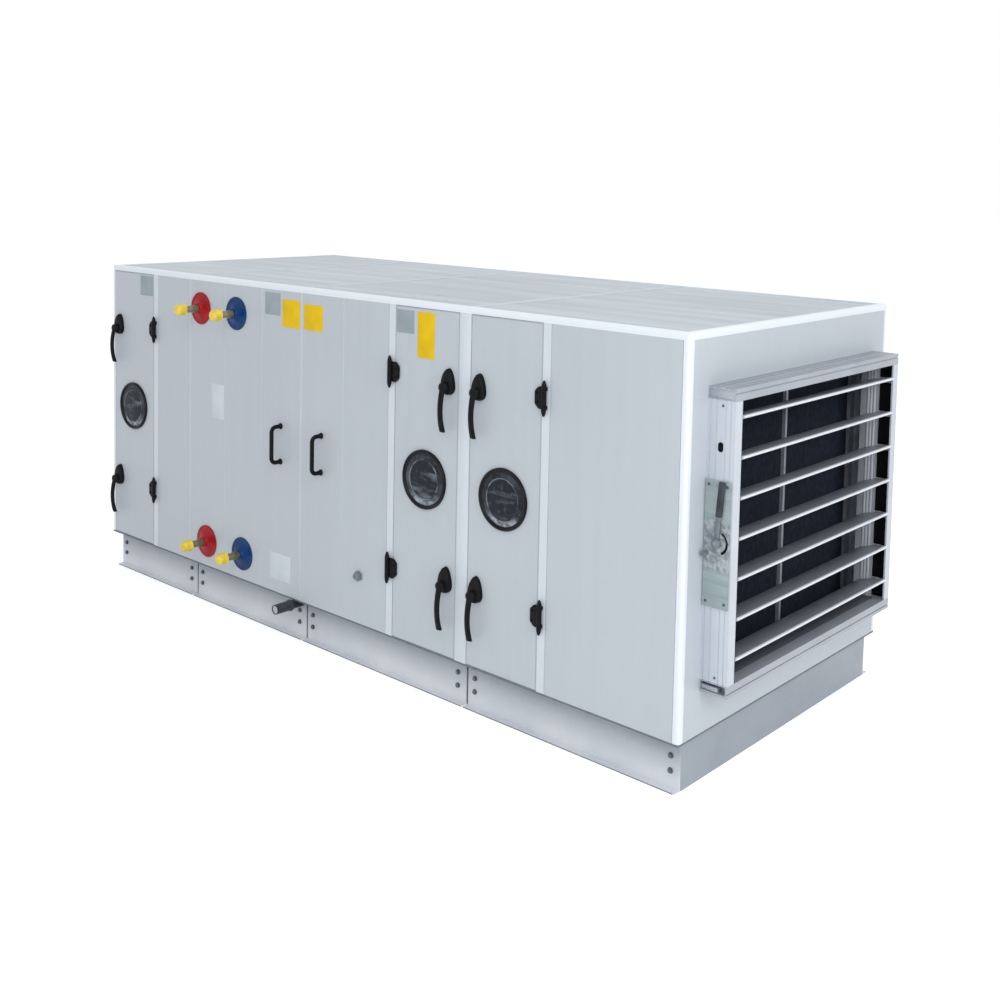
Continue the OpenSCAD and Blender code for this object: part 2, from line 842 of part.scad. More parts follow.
quadrant_low = 192;
quadrant_high = 182;
slot_r = 33;
slot_w = 8;
slot_turn = 130;
module damper_quadrant() {
    plate_w = damper_depth - 10;
    color(galvanised) place()
        translate([damper_axis_x, damper_y - quadrant_t, blade_z(lead_blade)]) difference() {
            translate([-damper_depth / 2 + 4, 0, -quadrant_low])
                cube([plate_w, quadrant_t, quadrant_low + quadrant_high]);
            translate([0, -1, 0]) rotate([-90, 0, 0]) cylinder(r = shaft_r + seat, h = quadrant_t + 2);
            translate([0, quadrant_t + 1, 0]) rotate([90, 0, 0]) rotate([0, 0, -slot_turn / 2])
                rotate_extrude(angle = slot_turn)
                    translate([slot_r - slot_w / 2, 0]) square([slot_w, quadrant_t + 2]);
        }
}

hand_lean = 5;
hand_w = 16;
hand_t = 6;
module damper_lever() {
    color(black_plastic) place()
        translate([damper_axis_x, damper_y - quadrant_t - seat, blade_z(lead_blade)])
            rotate([90, 0, 0]) rotate([0, 0, -hand_lean]) difference() {
                union() {
                    cylinder(r = shaft_r + 8, h = hand_hub_h);
                    translate([-hand_w / 2, 0, 0]) cube([hand_w, hand_lever - hand_w / 2, hand_t]);
                    translate([0, hand_lever - hand_w / 2, 0]) cylinder(d = hand_w, h = hand_t);
                }
                translate([0, 0, -1]) cylinder(r = shaft_r + seat, h = hand_hub_h + 2);
            }
}

base_front_rail();
base_back_rail();
base_end_rails();
base_cross_rails();
corner_posts();
roof_edge_long();
roof_edge_short();
front_uprights();
front_panels();
coil_panels();
access_panels();
back_panels();
roof_panels();
floor_panels();
left_end_panels();
right_end_panels();
outlet_collar();
post_hinges();
hot_rosettes();
cold_rosettes();
coil_pipes();
pipe_caps();
pull_handles();
drain_stub();
sensor_gland();
filter_frame();
filter_media();
damper_sides();
damper_rails();
damper_quadrant();
damper_lever();
damper_blade(1);  // damper_blade_1
damper_blade(2);  // damper_blade_2
damper_blade(3);  // damper_blade_3
damper_blade(4);  // damper_blade_4
damper_blade(5);  // damper_blade_5
damper_blade(6);  // damper_blade_6
damper_blade(7);  // damper_blade_7
door_leaf(0);  // door_1_leaf
door_window(0);  // door_1_window
door_fittings(0);  // door_1_fittings
door_lever(0, latch_z_low);  // door_1_lever_low
door_lever(0, latch_z_high);  // door_1_lever_high
door_leaf(1);  // door_2_leaf
door_window(1);  // door_2_window
door_fittings(1);  // door_2_fittings
door_lever(1, latch_z_low);  // door_2_lever_low
door_lever(1, latch_z_high);  // door_2_lever_high
door_leaf(2);  // door_3_leaf
door_window(2);  // door_3_window
door_fittings(2);  // door_3_fittings
door_lever(2, latch_z_low);  // door_3_lever_low
door_lever(2, latch_z_high);  // door_3_lever_high
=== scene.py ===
"""Looks of an air handling unit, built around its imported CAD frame.

Sizes in the sub-assembly classes are millimetres, measured as in the part:
x from the casing's left end, y inwards from its front face, z up from the
top of its base. Grid.at() turns a place into metres of the shared frame.
"""

import json
import logging
import math
from dataclasses import dataclass, field
from enum import Enum
from typing import ClassVar, Iterable, Optional, Sequence, Union

import bmesh
import bpy
from bmesh.types import BMEdge, BMesh, BMFace, BMVert
from mathutils import Matrix, Vector

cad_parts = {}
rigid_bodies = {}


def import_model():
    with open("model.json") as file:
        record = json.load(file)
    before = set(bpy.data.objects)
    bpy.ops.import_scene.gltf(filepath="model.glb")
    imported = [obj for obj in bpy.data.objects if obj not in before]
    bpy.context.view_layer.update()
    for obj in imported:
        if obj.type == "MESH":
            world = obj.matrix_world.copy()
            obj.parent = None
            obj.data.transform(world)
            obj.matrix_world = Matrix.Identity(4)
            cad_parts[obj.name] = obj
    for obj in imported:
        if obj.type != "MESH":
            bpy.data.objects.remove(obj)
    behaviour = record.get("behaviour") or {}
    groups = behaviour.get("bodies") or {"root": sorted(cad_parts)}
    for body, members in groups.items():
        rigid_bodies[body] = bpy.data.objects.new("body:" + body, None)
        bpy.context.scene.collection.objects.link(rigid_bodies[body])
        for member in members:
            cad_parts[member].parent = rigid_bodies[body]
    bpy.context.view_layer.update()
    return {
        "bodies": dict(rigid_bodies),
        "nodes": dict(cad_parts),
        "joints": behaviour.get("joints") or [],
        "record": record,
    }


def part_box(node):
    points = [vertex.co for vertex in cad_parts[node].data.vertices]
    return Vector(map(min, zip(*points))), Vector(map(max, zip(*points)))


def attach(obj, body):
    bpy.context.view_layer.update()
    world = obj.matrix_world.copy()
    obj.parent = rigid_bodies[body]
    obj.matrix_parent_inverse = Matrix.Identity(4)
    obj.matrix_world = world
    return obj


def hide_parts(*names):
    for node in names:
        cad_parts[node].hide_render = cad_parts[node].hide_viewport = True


LOG = logging.getLogger("air_handling_unit")
MM = 0.001
MERGE = 1e-6  # metres: points closer than this are one
SNUG = 0.3  # millimetres: clearance of fitted pieces
MOULDED = 40.0  # degrees: crease of moulded and turned pieces
DEEP_EDGE = 1e-5  # metres: an edge with more depth than this runs inwards
WHITE = (1.0, 1.0, 1.0, 1.0)
ALONG = Vector((1.0, 0.0, 0.0))
Triple = tuple[float, float, float]
Profile = Sequence[tuple[float, float]]
Socket = bpy.types.NodeSocket
Value = Union[float, tuple, Socket]


class Facing(Enum):
    """Direction in which a small part stands off its carrier."""

    FRONT = (0.0, -1.0, 0.0)
    BACK = (0.0, 1.0, 0.0)
    LEFT = (-1.0, 0.0, 0.0)
    UP = (0.0, 0.0, 1.0)

    def vector(self) -> Vector:
        """Unit vector of the direction."""
        return Vector(self.value)


class Hand(Enum):
    """Side on which a door is hung."""

    LEFT = 1
    RIGHT = -1


def linear(code: str) -> tuple[float, float, float, float]:
    """Turns a screen colour into the shader's linear colour.

    Args:
        code: Six hexadecimal digits, red first.

    Returns:
        Linear red, green, blue and an alpha of 1.
    """
    parts = [int(code[i : i + 2], 16) / 255.0 for i in (0, 2, 4)]
    red, green, blue = [
        c / 12.92 if c <= 0.04045 else ((c + 0.055) / 1.055) ** 2.4 for c in parts
    ]
    return (red, green, blue, 1.0)


def edges_of(verts: Iterable[BMVert]) -> list[BMEdge]:
    """Edges that touch some vertices."""
    return list({e for v in verts for e in v.link_edges})


def faces_of(verts: Iterable[BMVert]) -> list[BMFace]:
    """Faces that touch some vertices."""
    return list({f for v in verts for f in v.link_faces})


def only(kind: type, parts: Iterable) -> list:
    """Those parts of a mesh that are of one kind."""
    return [part for part in parts if isinstance(part, kind)]


class Nodes:
    """A node tree, with short calls that add nodes and feed them."""

    def __init__(self, tree: bpy.types.NodeTree) -> None:
        """Takes the tree that is worked on."""
        self.nodes = tree.nodes
        self.links = tree.links

    def feed(self, socket: Socket, value: Value) -> None:
        """Links a socket to an output, or sets its constant.

        Args:
            socket: Input of a node.
            value: The output or the constant.
        """
        if isinstance(value, Socket):
            self.links.new(value, socket)
        else:
            socket.default_value = value

    def fill(self, node: bpy.types.Node, values: dict[str, Value]) -> None:
        """Feeds a node's inputs, named with _ for each space."""
        for name, value in values.items():
            self.feed(node.inputs[name.replace("_", " ")], value)

    def add(self, kind: str, *first: Value, **named: Value) -> bpy.types.Node:
        """Adds a node and feeds its inputs.

        Args:
            kind: Type of the node.
            first: Values of its first inputs.
            named: Values of other inputs, named with _ for each space.

        Returns:
            The node.
        """
        node = self.nodes.new(f"ShaderNode{kind}")
        for socket, value in zip(node.inputs, first):
            self.feed(socket, value)
        self.fill(node, named)
        return node

    def reckon(self, operation: str, a: Value, b: Value) -> Socket:
        """Result of an operation on two numbers.

        Args:
            operation: Name of the operation.
            a: First number.
            b: Second number.

        Returns:
            Output with the result.
        """
        node = self.add("Math", a, b)
        node.operation = operation
        return node.outputs[0]


class Tree(Nodes):
    """Node tree of one material, with calls for the patterns in use."""

    def __init__(self, name: str) -> None:
        """Starts a material with its principled shader.

        Args:
            name: Name of the material.
        """
        self.material = bpy.data.materials.new(name)
        self.material.use_nodes = True
        super().__init__(self.material.node_tree)
        self.shader = self.nodes["Principled BSDF"]
        self.place = self.add("TexCoord").outputs["Object"]

    def set(self, **values: Value) -> None:
        """Feeds the shader's inputs."""
        self.fill(self.shader, values)

    def noise(
        self, scale: float, detail: float = 3.0, stretch: Triple = (1.0, 1.0, 1.0)
    ) -> Socket:
        """Cloudy noise between 0 and 1, given its lumps per metre and their octaves."""
        place = self.add("Mapping", Vector=self.place, Scale=stretch).outputs["Vector"]
        return self.add("TexNoise", Vector=place, Scale=scale, Detail=detail).outputs["Fac"]

    def cells(self, scale: float) -> Socket:
        """One random grey for each crystal, given the crystals per metre."""
        crystals = self.add("TexVoronoi", Vector=self.place, Scale=scale)
        return self.add("RGBToBW", crystals.outputs["Color"]).outputs["Val"]

    def spread(self, fac: Socket, low: float, high: float) -> Socket:
        """Maps 0.25..0.75 of a noise to a range of numbers."""
        ends = {"From_Min": 0.25, "From_Max": 0.75, "To_Min": low, "To_Max": high}
        return self.add("MapRange", Value=fac, **ends).outputs["Result"]

    def ramp(
        self, fac: Socket, low: str, high: str, edge: float = 0.25, shift: float = 0.0
    ) -> Socket:
        """Colour between two screen colours.

        Args:
            fac: Where to look up the colour.
            low: Colour of the low end.
            high: Colour of the high end.
            edge: Distance of both ends from 0 and 1.
            shift: How far both ends then move up.

        Returns:
            Output with the colour.
        """
        node = self.add("ValToRGB", fac)
        ends = node.color_ramp.elements
        ends[0].position = edge + shift
        ends[0].color = linear(low)
        ends[1].position = 1.0 - edge + shift
        ends[1].color = linear(high)
        return node.outputs["Color"]

    def mix(self, fac: Value, a: Value, b: Value) -> Socket:
        """Mixes two colours.

        Args:
            fac: Share of the second colour.
            a: First colour.
            b: Second colour.

        Returns:
            Output with the colour.
        """
        node = self.add("Mix")
        node.data_type = "RGBA"
        for socket, value in ((0, fac), (6, a), (7, b)):
            self.feed(node.inputs[socket], value)
        return node.outputs[2]

    def along(self, axis: str, low: float, high: float) -> Socket:
        """Rises from 0 to 1 between two places on an axis of the object, in metres."""
        place = self.add("SeparateXYZ", self.place).outputs[axis]
        return self.add("MapRange", Value=place, From_Min=low, From_Max=high).outputs["Result"]

    def bump(self, height: Socket, distance_mm: float, below: Optional[Socket] = None) -> Socket:
        """Normal of a bumpy surface.

        Args:
            height: Noise that gives the height.
            distance_mm: Height of the bumps.
            below: Normal of a coarser bump under this one.

        Returns:
            Output with the normal.
        """
        node = self.add("Bump", Strength=1.0, Distance=distance_mm * MM, Height=height)
        if below is not None:
            self.feed(node.inputs["Normal"], below)
        return node.outputs["Normal"]

    def foot(self, colour: Socket, low: float, high: float) -> None:
        """Paints another colour at the surface's foot, fading out between two heights: painted
        light.
        """
        plain = self.shader.inputs["Base Color"].links[0].from_socket
        self.set(Base_Color=self.mix(self.along("Z", low, high), colour, plain))


@dataclass(frozen=True)
class Finish:
    """Finish of a surface between a shade and a colour; the subclasses draw it."""

    name: str
    colour: str
    roughness: float
    slot: str
    shade: str

    made: ClassVar[dict[str, bpy.types.Material]] = {}

    def material(self) -> bpy.types.Material:
        """Makes the material once.

        Returns:
            The material.
        """
        if self.name not in Finish.made:
            tree = Tree(self.name)
            tree.set(Roughness=self.roughness)
            self.draw(tree)
            Finish.made[self.name] = tree.material
        return Finish.made[self.name]

    def draw(self, tree: Tree) -> None:
        """Draws the pattern of the finish."""
        raise NotImplementedError

    def tone(self, tree: Tree, fac: Socket, edge: float = 0.25) -> Socket:
        """Colour between the shade and the colour."""
        return tree.ramp(fac, self.shade, self.colour, edge)

    def roughen(self, tree: Tree, fac: Socket, less: float, more: float) -> None:
        """Lets the roughness vary with a noise."""
        tree.set(Roughness=tree.spread(fac, self.roughness - less, self.roughness + more))


@dataclass(frozen=True)
class CoatedSheet(Finish):
    """Coated steel sheet: faint waves, streaks from rolling and orange peel."""

    wave_mm: float = 1.2
    grain: Triple = (9.0, 9.0, 0.5)
    streaks: float = 0.35

    def draw(self, tree: Tree) -> None:
        """Draws cloudy colour, streaks, waves and peel.

        Args:
            tree: Tree of the material.
        """
        streak = tree.noise(3.0, 4.0, self.grain)
        cloudy = self.tone(tree, tree.noise(1.1, 2.0))
        tree.set(Base_Color=tree.mix(self.streaks, cloudy, self.tone(tree, streak)))
        self.roughen(tree, streak, 0.05, 0.07)
        waves = tree.bump(tree.noise(2.2, 1.0), self.wave_mm)
        tree.set(Normal=tree.bump(tree.noise(700.0, 2.0), 0.03, waves))


@dataclass(frozen=True)
class Galvanised(Finish):
    """Zinc coated steel with its spangle of crystals."""

    cell: float = 55.0
    dents_mm: float = 0.5
    metal: float = 0.45

    def draw(self, tree: Tree) -> None:
        """Draws crystals of several greys with shallow dents.

        Args:
            tree: Tree of the material.
        """
        crystal = tree.cells(self.cell)
        flat = self.tone(tree, tree.noise(4.0, 4.0))
        spangled = tree.mix(0.3, flat, self.tone(tree, crystal, 0.1))
        tree.set(Base_Color=spangled, Metallic=self.metal)
        self.roughen(tree, crystal, 0.08, 0.1)
        dents = tree.bump(tree.noise(9.0, 2.0), self.dents_mm)
        tree.set(Normal=tree.bump(tree.noise(260.0, 2.0), 0.05, dents))


@dataclass(frozen=True)
class RailZinc(Galvanised):
    """Zinc of the base rails, pale and bright towards their feet as painted light."""

    pale: tuple[str, str] = ("D0D5DB", "E2E5E9")
    foot_z: float = 0.012
    head_z: float = 0.125

    def draw(self, tree: Tree) -> None:
        """Draws the zinc and pales it downwards, as painted light at the feet."""
        super().draw(tree)
        tree.foot(tree.ramp(tree.noise(5.0, 3.0), *self.pale), self.foot_z, self.head_z)


@dataclass(frozen=True)
class FilmWrapped(Galvanised):
    """Zinc plate with crumpled film between two heights in metres."""

    low: float = 0.657
    high: float = 0.815
    fade: float = 0.012
    film: tuple[str, str] = ("7B838A", "B2B9BF")

    def draw(self, tree: Tree) -> None:
        """Draws creased zinc and the crumpled film over its middle.

        Args:
            tree: Tree of the material.
        """
        crease = tree.noise(5.0, 3.0, (1.0, 1.0, 9.0))
        crumple = tree.noise(70.0, 5.0)
        above = tree.along("Z", self.low, self.low + self.fade)
        below = tree.along("Z", self.high, self.high - self.fade)
        wrapped = tree.reckon("MULTIPLY", above, below)
        film = tree.ramp(crumple, *self.film, 0.36)
        tree.set(Base_Color=tree.mix(wrapped, self.tone(tree, crease), film), Metallic=self.metal)
        self.roughen(tree, crumple, 0.08, 0.1)
        folds = tree.bump(tree.reckon("MULTIPLY", crumple, wrapped), self.dents_mm)
        tree.set(Normal=tree.bump(crease, 0.8, folds))


@dataclass(frozen=True)
class Extrusion(Finish):
    """Mill finish extrusion with drawing lines along its run."""

    run: Triple = (60.0, 1.0, 60.0)
    metal: float = 0.35

    def draw(self, tree: Tree) -> None:
        """Draws the metal's colour and fine lines along the run.

        Args:
            tree: Tree of the material.
        """
        lines = tree.noise(14.0, 3.0, self.run)
        tree.set(Base_Color=self.tint(tree, lines), Metallic=self.metal)
        self.roughen(tree, lines, 0.06, 0.08)
        tree.set(Normal=tree.bump(lines, 0.06))

    def tint(self, tree: Tree, lines: Socket) -> Socket:
        """Colour with cloudy tarnish and the lines."""
        cloudy = tree.mix(0.4, self.tone(tree, tree.noise(6.0, 3.0)), linear(self.colour))
        return tree.mix(0.25, cloudy, self.tone(tree, lines))


@dataclass(frozen=True)
class BladeMetal(Extrusion):
    """Blade in painted shade, with a bright outer edge as painted highlight, which begins at a
    place in metres.
    """

    metal: float = 0.25
    edge: str = "E4E8EE"
    highlight_x: float = 1.594

    def tint(self, tree: Tree, lines: Socket) -> Socket:
        """Colour of the faces in painted shade and the outer edge in painted highlight."""
        # Painted highlight: the outer edge is bright from this place on.
        bright = tree.along("X", self.highlight_x, self.highlight_x + 0.003)
        return tree.mix(bright, self.tone(tree, lines), linear(self.edge))


@dataclass(frozen=True)
class Moulding(Finish):
    """Moulded plastic or rubber with a fine grain and rubbed high spots."""

    grain_mm: float = 0.05
    coat: float = 0.0
    gloss: float = 0.3

    def draw(self, tree: Tree) -> None:
        """Draws scuffed colour and the mould's grain.

        Args:
            tree: Tree of the material.
        """
        scuff = tree.noise(38.0, 4.0)
        self.roughen(tree, scuff, 0.05, 0.08)
        tree.set(Base_Color=self.tone(tree, scuff, 0.3), Specular_IOR_Level=self.gloss)
        tree.set(Coat_Weight=self.coat, Coat_Roughness=0.12)
        tree.set(Normal=tree.bump(tree.noise(900.0, 2.0), self.grain_mm))


@dataclass(frozen=True)
class Pane(Finish):
    """Dark clear pane with pale streaks, which are painted reflections."""

    lean: float = 1.0
    gloss: float = 0.25
    edge: float = 0.42
    sweep: Triple = (0.6, 1.0, 3.2)
    rare: float = 0.05

    def draw(self, tree: Tree) -> None:
        """Draws pale slanting streaks of painted reflection on a dark glossy ground.

        Args:
            tree: Tree of the material.
        """
        ground = (self.colour, self.shade)
        reflection_streaks = tree.ramp(tree.noise(7.0, 3.0, self.sweep), *ground, self.edge, self.rare)
        flecked = tree.ramp(tree.noise(60.0, 2.0), *ground, 0.4, self.rare)
        tree.set(Base_Color=tree.mix(0.2, reflection_streaks, flecked), Specular_IOR_Level=self.gloss)
        tree.set(Normal=tree.bump(tree.noise(24.0, 1.0), 0.08 * self.lean))


@dataclass(frozen=True)
class Band(Pane):
    """Dark band round a window's pane, with a pale foot below a height in metres: painted light.
    """

    # Colours of the painted light at the band's foot.
    floor: tuple[str, str] = ("59626B", "A9B1B9")
    lit_foot_z: float = 0.694
    fade: float = 0.012

    def draw(self, tree: Tree) -> None:
        """Draws the pale mottled foot of the dark band as painted light.

        Args:
            tree: Tree of the material.
        """
        super().draw(tree)
        lit_foot = tree.ramp(tree.noise(75.0, 3.0), *self.floor, 0.38)
        tree.foot(lit_foot, self.lit_foot_z - self.fade, self.lit_foot_z + self.fade)


@dataclass(frozen=True)
class Sticker(Finish):
    """Bare plate or paper with slight fading and a fibre grain."""

    def draw(self, tree: Tree) -> None:
        """Draws faded patches and a fine grain."""
        tree.set(Base_Color=self.tone(tree, tree.noise(16.0, 4.0)), Specular_IOR_Level=0.2)
        tree.set(Normal=tree.bump(tree.noise(400.0, 2.0), 0.02))


@dataclass(frozen=True)
class FilterCloth(Finish):
    """Dark synthetic fibre mat."""

    def draw(self, tree: Tree) -> None:
        """Draws matted fibres."""
        fibre = tree.noise(160.0, 5.0, (1.0, 1.0, 0.25))
        tree.set(Base_Color=self.tone(tree, fibre), Sheen_Weight=0.2, Normal=tree.bump(fibre, 0.6))


PANEL = CoatedSheet("grey_coated_sheet", "C2C9D0", 0.42, "panel", "B9C0C7")
ROOF = CoatedSheet("roof_sheet", "C6D2DA", 0.32, "panel", "84949E", 3.0, (0.35, 4.0, 4.0), 0.8)
EDGE = CoatedSheet("white_edge_profile", "E9EFF6", 0.38, "edge_profile", "E3EAF1", 0.2)
UPRIGHT = CoatedSheet("pale_upright", "D6DDE5", 0.40, "upright", "CFD6DE", 0.2)
SEAM = CoatedSheet("seam_strip", "CAD1D9", 0.45, "panel", "C3CAD2", 0.1)
LIP = CoatedSheet("door_lip", "B4BBC3", 0.5, "panel", "ABB2BA", 0.1)
ZINC = Galvanised("galvanised_sheet", "BFC5CD", 0.44, "galvanised", "A3ABB3", 55.0, 0.5, 0.3)
# Rail zinc: darker at the top as painted shade under the casing's overhang, paled at the feet as
# painted light.
RAIL = RailZinc("galvanised_rail", "A8AEB6", 0.44, "galvanised", "8F979F", 55.0, 0.5, 0.25)
# Darker copy of the rail zinc for the end and cross rails: painted shade of the ends.
END_RAIL = Galvanised("galvanised_end_rail", "A3AAB2", 0.44, "galvanised", "9097A0", metal=0.25)
DRIVE = FilmWrapped("drive_plate_zinc", "A9B8BA", 0.38, "galvanised", "8A999C", 38.0, 4.0, 0.2)
PIPE = Galvanised("pipe_steel", "8F8A72", 0.38, "pipe_metal", "55513C", 200.0, 0.2)
BOLT = Galvanised("bolt_head", "6C757D", 0.42, "galvanised", "474F57", 300.0, 0.1)
ARM = Galvanised("lever_arm_zinc", "868F95", 0.4, "galvanised", "5F686E", 120.0, 0.3, 0.4)
# Rails' foot edges: bare cut edge, darkened as painted shade.
CUT_EDGE_AND_SHADE = Galvanised("cut_edge_and_shade", "868E96", 0.5, "galvanised", "6A727A", 200.0, 0.1, 0.3)
FRAME_METAL = Extrusion(
    "damper_frame_metal", "CDD3DB", 0.42, "damper_metal", "BCC3CB", (60.0, 60.0, 1.0)
)
RAIL_METAL = Extrusion("damper_rail_metal", "B1B7BF", 0.42, "damper_metal", "989EA6")
# Dark strip on the damper's lower rail: painted shade.
SILL_SHADE = Extrusion("sill_shade", "6B7078", 0.5, "damper_metal", "555A62")
# Blade faces darkened as painted shade; BladeMetal paints a highlight on the outer edge.
BLADE_METAL = BladeMetal("damper_blade_metal", "A3A9B1", 0.42, "damper_metal", "737981")
BLACK = Moulding("black_nylon", "101216", 0.48, "black_plastic", "060709", gloss=0.14)
RIM = Moulding("window_rim", "101318", 0.34, "black_plastic", "06080A", gloss=0.2)
GRIP = Moulding("lever_grip", "474D54", 0.5, "black_plastic", "33383E", gloss=0.2)
HOSE = Moulding("drain_plastic", "3C3E47", 0.36, "black_plastic", "24262C", gloss=0.35)
# Dark pieces for holes, slots, recesses and gaps: painted shade.
DARK = Moulding("dark_hole", "0C0E11", 0.6, "black_plastic", "050607", gloss=0.1)
RED = Moulding("red_rubber", "B01A24", 0.36, "red_rubber", "8C1019", 0.08, 0.04, 0.14)
BLUE = Moulding("blue_rubber", "07407C", 0.36, "blue_rubber", "042C58", 0.08, 0.04, 0.14)
YELLOW = Moulding("yellow_cap_plastic", "EED646", 0.38, "yellow_cap", "D8B52A", 0.05, 0.25, 0.4)
GREY = Moulding("grey_fitting", "7C858E", 0.32, "grey_plastic", "616A73", 0.05, 0.1, 0.5)
MOUTH = Moulding("drain_mouth", "C2C8D0", 0.6, "grey_plastic", "A9AFB8", 0.1)
# Dark strip under the casing's rim: painted shade.
SOLE_SHADOW = Moulding("sole_shadow", "7D858D", 0.75, "grey_plastic", "6E767E", 0.1, gloss=0.15)
# Band: painted reflections in its streaks and painted light at its foot.
BAND = Band("window_band", "151A20", 0.3, "window", "59626B", 6.0, 0.12, 0.32, (1.0, 1.0, 1.6))
# Pale streaks on the bead: painted highlights.
BEAD = Pane("window_bead", "252B32", 0.24, "window", "8A939B", 3.0, 0.25, 0.4)
# Pane: dark ground as painted shade of the unit's inside seen through it, pale streaks as painted
# reflections.
GLASS = Pane(
    "window_pane", "222930", 0.12, "window", "848D95", 1.0, 0.1, 0.39, (0.8, 1.0, 4.2), 0.15
)
CLOTH = FilterCloth("filter_mat", "2B364C", 0.85, "filter_cloth", "141A27")
BARE_PLATE = Sticker("bare_grey_plate", "A3AEB6", 0.5, "", "929DA5")
BARE_YELLOW = Sticker("bare_yellow_plate", "EFC90F", 0.5, "", "DDB607")
PAPER = Sticker("bare_paper", "D6DDE4", 0.7, "", "CCD3DB")


@dataclass(frozen=True)
class Layout:
    """Driving sizes of the casing, and the places along its front."""

    length: float = 3040.0
    depth: float = 1280.0
    height: float = 1200.0
    base: float = 160.0
    wall: float = 22.0
    door_w: float = 308.0
    upright: float = 32.0
    joint_upright: float = 52.0
    panel_w: float = 240.0
    panels: int = 6

    @property
    def service_x(self) -> float:
        """Left side of the first service panel."""
        return self.wall + self.door_w + self.upright

    @property
    def door_x(self) -> Triple:
        """Left sides of the three door openings."""
        second = self.service_x + self.panels * self.panel_w + self.upright
        return (self.wall, second, second + self.door_w + self.joint_upright)

    @property
    def joints(self) -> Triple:
        """Places where two sections of the unit meet."""
        last = self.door_x[2] - self.joint_upright / 2
        return (self.panel_x(1), self.panel_x(4), last)

    @property
    def wall_top(self) -> float:
        """Top of the wall panels."""
        return self.height - self.wall

    def panel_x(self, number: int) -> float:
        """Left side of a service panel, counted from 0."""
        return self.service_x + number * self.panel_w


@dataclass(frozen=True)
class Grid:
    """The CAD's nodes, and the casing's place in the shared frame."""

    nodes: dict[str, bpy.types.Object]
    origin: Vector
    plan: Layout = Layout()

    @classmethod
    def from_frame(cls, frame: dict) -> "Grid":
        """Takes the nodes and the casing's front left bottom corner from what was loaded."""
        low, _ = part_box("corner_posts")
        return cls(frame["nodes"], Vector(low))

    def at(self, x: float, y: float, z: float) -> Vector:
        """Point of the shared frame for a place on the casing."""
        return self.origin + Vector((x, y, z)) * MM


